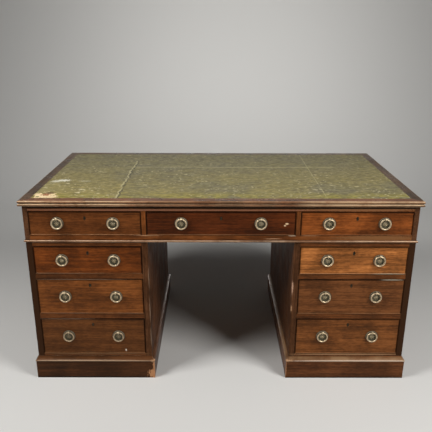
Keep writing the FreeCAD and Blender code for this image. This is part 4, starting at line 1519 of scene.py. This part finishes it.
@dataclass
class WritingSurface:
    """The leather sheet let into the top."""

    paint: Paint
    node: str = "writing_leather"
    cells_x: int = 240
    cells_y: int = 126
    thickness: float = 0.0012
    ripple: float = 0.00022
    seam_ridge: float = 0.0004
    seam_reach: float = 0.007
    torn_depth: float = 0.0006
    tear: tuple[Mark, ...] = (
        top_mark(-0.682, -0.35, 0.04, 0.036, (0.82, 0.62, 0.36), 1.7),
        top_mark(-0.648, -0.364, 0.022, 0.02, (0.74, 0.56, 0.32), 1.8),
        top_mark(-0.678, -0.335, 0.017, 0.013, (0.3, 0.12, 0.05), 1.5),
        top_mark(-0.667, -0.313, 0.02, 0.008, (0.1, 0.04, 0.02), 1.6),
        top_mark(-0.702, -0.362, 0.008, 0.008, (0.2, 0.18, 0.07), 1.2),
    )
    scuffs: tuple[Mark, ...] = (
        top_mark(-0.664, -0.126, 0.026, 0.014, (0.68, 0.65, 0.52), 1.9),
        top_mark(-0.692, -0.143, 0.02, 0.012, (0.58, 0.55, 0.42), 1.9),
        top_mark(-0.568, -0.136, 0.024, 0.006, (0.42, 0.4, 0.28), 1.8),
    )

    def build(self) -> None:
        """Lay the sheet and dress it."""
        low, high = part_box(self.node)
        sheet = self.lay(low, high)
        leather = WornLeather("worn_leather", marks=(*self.scuffs, *self.tear))
        self.paint.cover(sheet, leather)
        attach(sheet, "desk")
        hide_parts(self.node)
        log.info("%s laid", sheet.name)

    def lay(self, low: Vector, high: Vector) -> bpy.types.Object:
        """Model the sheet in the space of its CAD solid.

        Args:
            low: The solid's lowest corner.
            high: The solid's highest corner.

        Returns:
            The sheet.
        """
        deselect()
        bpy.ops.mesh.primitive_grid_add(x_subdivisions=self.cells_x, y_subdivisions=self.cells_y, size=1.0)
        sheet = bpy.context.object
        sheet.name = "leather_sheet"
        sheet.scale = (high.x - low.x, high.y - low.y, 1.0)
        sheet.location = ((low.x + high.x) / 2, (low.y + high.y) / 2, high.z)
        settle(sheet)
        for vertex in sheet.data.vertices:
            vertex.co.z -= self.sink(vertex.co)
        solidify = sheet.modifiers.new("hide", "SOLIDIFY")
        solidify.thickness = self.thickness
        solidify.offset = -1.0
        activate(sheet)
        bpy.ops.object.modifier_apply(modifier=solidify.name)
        bpy.ops.object.shade_smooth_by_angle(angle=math.radians(40.0))
        return sheet

    def sink(self, point: Vector) -> float:
        """How far the sheet lies below the border at a point.

        Args:
            point: A point of the sheet.

        Returns:
            The depth, in metres.
        """
        bend = 2.0 * math.sin(point.y * 9.0)
        wave = math.sin(point.x * 21.0 + bend) * math.sin(point.y * 26.0 + point.x * 5.0)
        depth = self.ripple * (1.0 + wave) / 2
        for across, at in ((point.x, SEAM_X), (point.x, CRACK_X), (point.y, SEAM_Y)):
            near = max(0.0, 1.0 - abs(across - at) / self.seam_reach)
            depth += self.seam_ridge * near * near
        torn = self.tear[0]
        span = math.hypot((point.x - torn.centre[0]) / torn.reach[0],
                          (point.y - torn.centre[1]) / torn.reach[1])
        return depth + self.torn_depth * min(1.0, max(0.0, 1.6 - 1.4 * span))


@dataclass(frozen=True)
class Lamp:
    """A soft lamp: where it hangs, what it points at, its width and height, its watts and its beam."""

    name: str
    place: Point
    target: Point
    size: tuple[float, float]
    power: float
    spread: float = math.pi

    def hang(self) -> bpy.types.Object:
        """Hang the lamp.

        Returns:
            The lamp.
        """
        data = bpy.data.lights.new(self.name, "AREA")
        data.shape = "RECTANGLE"
        data.size, data.size_y = self.size
        data.energy = self.power
        data.spread = self.spread
        lamp = bpy.data.objects.new(self.name, data)
        lamp.location = self.place
        beam = Vector(self.target) - Vector(self.place)
        lamp.rotation_euler = beam.to_track_quat("-Z", "Y").to_euler()
        bpy.context.scene.collection.objects.link(lamp)
        return lamp


@dataclass
class Studio:
    """Floor, backdrop, lamps and camera."""

    paint: Paint
    ground_name: str = "ground"
    floor_front: float = -6.0
    floor_back: float = 3.4
    floor_half_width: float = 7.0
    wall_height: float = 5.0
    sweep: float = 1.6
    sweep_steps: int = 16
    frame_pixels: float = 432.0
    sensor: float = 36.0
    focal_pixels: float = 551.587
    camera_place: Point = (-0.02344, -2.3795, 1.38563)
    yaw: float = math.radians(0.117)
    pitch: float = math.radians(18.897)
    roll: float = math.radians(0.153)
    room_light: float = 0.003
    room_pale: float = 0.4
    lamps: tuple[Lamp, ...] = (
        Lamp("left_lamp", (-1.9, -1.2, 2.47), (0.0, 0.0, 0.3), (0.95, 0.95), 61.0),
        Lamp("right_lamp", (1.96, -1.73, 2.37), (0.0, 0.0, 0.3), (1.1, 1.1), 75.0),
        Lamp("backdrop", (0.2, 1.4, 2.7), (0.2, 3.4, 0.5), (2.6, 0.5), 13.5, math.radians(110.0)),
    )
    back_lamp: Lamp = Lamp("back_lamp", (0.0, 2.9, 0.55), (0.0, 0.42, 0.4), (2.0, 0.6), 25.0)

    def build(self) -> None:
        """Set the studio round the desk."""
        self.lay_ground()
        self.hang_lamps()
        self.light_room()
        self.aim_camera()
        bpy.context.scene.view_settings.view_transform = "Standard"

    def lay_ground(self) -> None:
        """A floor that sweeps up into a backdrop."""
        deselect()
        bpy.ops.mesh.primitive_plane_add(size=1.0)
        ground = bpy.context.object
        ground.name = self.ground_name
        ground.scale = (2 * self.floor_half_width, self.floor_back - self.floor_front, 1.0)
        ground.location = (0.0, (self.floor_back + self.floor_front) / 2, 0.0)
        settle(ground)
        for edge in ground.data.edges:
            edge.select = all(ground.data.vertices[v].co.y > 0.0 for v in edge.vertices)
        for vertex in ground.data.vertices:
            vertex.select = vertex.co.y > 0.0
        for polygon in ground.data.polygons:
            polygon.select = False
        bpy.ops.object.mode_set(mode="EDIT")
        bpy.ops.mesh.extrude_region_move(TRANSFORM_OT_translate={"value": (0.0, 0.0, self.wall_height)})
        bpy.ops.object.mode_set(mode="OBJECT")
        bevel = ground.modifiers.new("sweep", "BEVEL")
        bevel.width = self.sweep
        bevel.segments = self.sweep_steps
        activate(ground)
        bpy.ops.object.modifier_apply(modifier=bevel.name)
        bpy.ops.object.shade_smooth()
        self.paint.cover(ground, PlainGround("pale_ground", self.room_pale))

    def hang_lamps(self) -> None:
        """A soft lamp at each side in front, one on the backdrop, and one behind for the desk alone."""
        for lamp in self.lamps:
            lamp.hang()
        desk = bpy.data.collections.new("desk")
        for piece in bpy.context.scene.objects:
            if piece.type == "MESH" and piece.name != self.ground_name:
                desk.objects.link(piece)
        self.back_lamp.hang().light_linking.receiver_collection = desk

    def light_room(self) -> None:
        """A room that looks pale and gives little light."""
        world = bpy.data.worlds.new("room")
        bpy.context.scene.world = world
        world.use_nodes = True
        tree = world.node_tree
        level = tree.nodes.new("ShaderNodeMapRange")
        level.inputs["To Min"].default_value = self.room_light
        level.inputs["To Max"].default_value = self.room_pale
        tree.links.new(seen_rays(tree), level.inputs["Value"])
        background = tree.nodes["Background"]
        tree.links.new(level.outputs["Result"], background.inputs["Strength"])
        background.inputs["Color"].default_value = (1.0, 1.0, 1.0, 1.0)

    def aim_camera(self) -> None:
        """Stand the camera where the photograph was taken from."""
        reach = math.cos(self.pitch)
        forward = Vector((math.sin(self.yaw) * reach, math.cos(self.yaw) * reach, -math.sin(self.pitch)))
        level = Vector((math.cos(self.yaw), -math.sin(self.yaw), 0.0))
        above = level.cross(forward)
        right = math.cos(self.roll) * level + math.sin(self.roll) * above
        up = -math.sin(self.roll) * level + math.cos(self.roll) * above
        data = bpy.data.cameras.new("camera")
        data.sensor_width = self.sensor
        data.lens = self.focal_pixels * self.sensor / self.frame_pixels
        camera = bpy.data.objects.new("camera", data)
        turn = Matrix((right, up, -forward)).transposed().to_4x4()
        camera.matrix_world = Matrix.Translation(self.camera_place) @ turn
        bpy.context.scene.collection.objects.link(camera)
        bpy.context.scene.camera = camera


LOOKS = (
    DrawerLook("front_left_frieze", (0.111, 0.0313, 0.0065), foot_rub_and_highlight=0.9),
    DrawerLook("front_centre_frieze", (0.0715, 0.0145, 0.0024),
               (Mark((0.25, -0.4085, 0.679), (0.006, 0.006, 0.0035), CREAM_CHIP, 1.2),
                Mark((0.243, -0.4085, 0.672), (0.004, 0.006, 0.003), CREAM_CHIP, 1.2))),
    DrawerLook("front_right_frieze", (0.193, 0.049, 0.0086)),
    DrawerLook("left_upper", (0.149, 0.0352, 0.005),
               (bead_mark(-0.6, 0.4722, 0.12, 0.0013, (0.2, 0.12, 0.072), 1.6),)),
    DrawerLook("left_middle", (0.172, 0.0505, 0.01),
               (bead_mark(-0.55, 0.4467, 0.17, 0.0013, (0.15, 0.09, 0.055), 1.6),
                bead_mark(-0.62, 0.2972, 0.1, 0.0013, (0.2, 0.12, 0.072), 1.6),
                bead_mark(-0.36, 0.2972, 0.05, 0.0013, (0.2, 0.12, 0.072), 1.6))),
    DrawerLook("left_lower", (0.096, 0.03, 0.0066),
               (Mark((-0.388, -0.4085, 0.127), (0.0028, 0.006, 0.005), (0.8, 0.72, 0.6), 0.8),
                bead_mark(-0.62, 0.2717, 0.11, 0.0013, (0.15, 0.09, 0.055), 1.6)),
               ring=DULL_RING_BRASS, rosette=DULL_ROSETTE_BRASS),
    DrawerLook("right_upper", (0.357, 0.12, 0.029),
               (bead_mark(0.66, 0.4722, 0.07, 0.0015, (0.5, 0.46, 0.34), 0.9),), foot_rub_and_highlight=1.0),
    DrawerLook("right_middle", (0.124, 0.04, 0.0108),
               (bead_mark(0.675, 0.4467, 0.045, 0.0013, (0.4, 0.36, 0.27), 0.9),)),
    DrawerLook("right_lower", (0.163, 0.0515, 0.012)),
    DrawerLook("back_left_frieze", RED_BROWN),
    DrawerLook("back_centre_frieze", DEEP_BROWN),
    DrawerLook("back_right_frieze", RED_BROWN),
)


def main() -> None:
    """Dress the desk, lay the leather, set the rosettes and the studio."""
    logging.basicConfig(level=logging.INFO, format="%(name)s: %(message)s")
    paint = Paint()
    Carcase(paint).build()
    Drawers(paint, LOOKS).build()
    Cupboards(paint).build()
    WritingSurface(paint).build()
    Studio(paint).build()


if __name__ == "__main__":
    main()
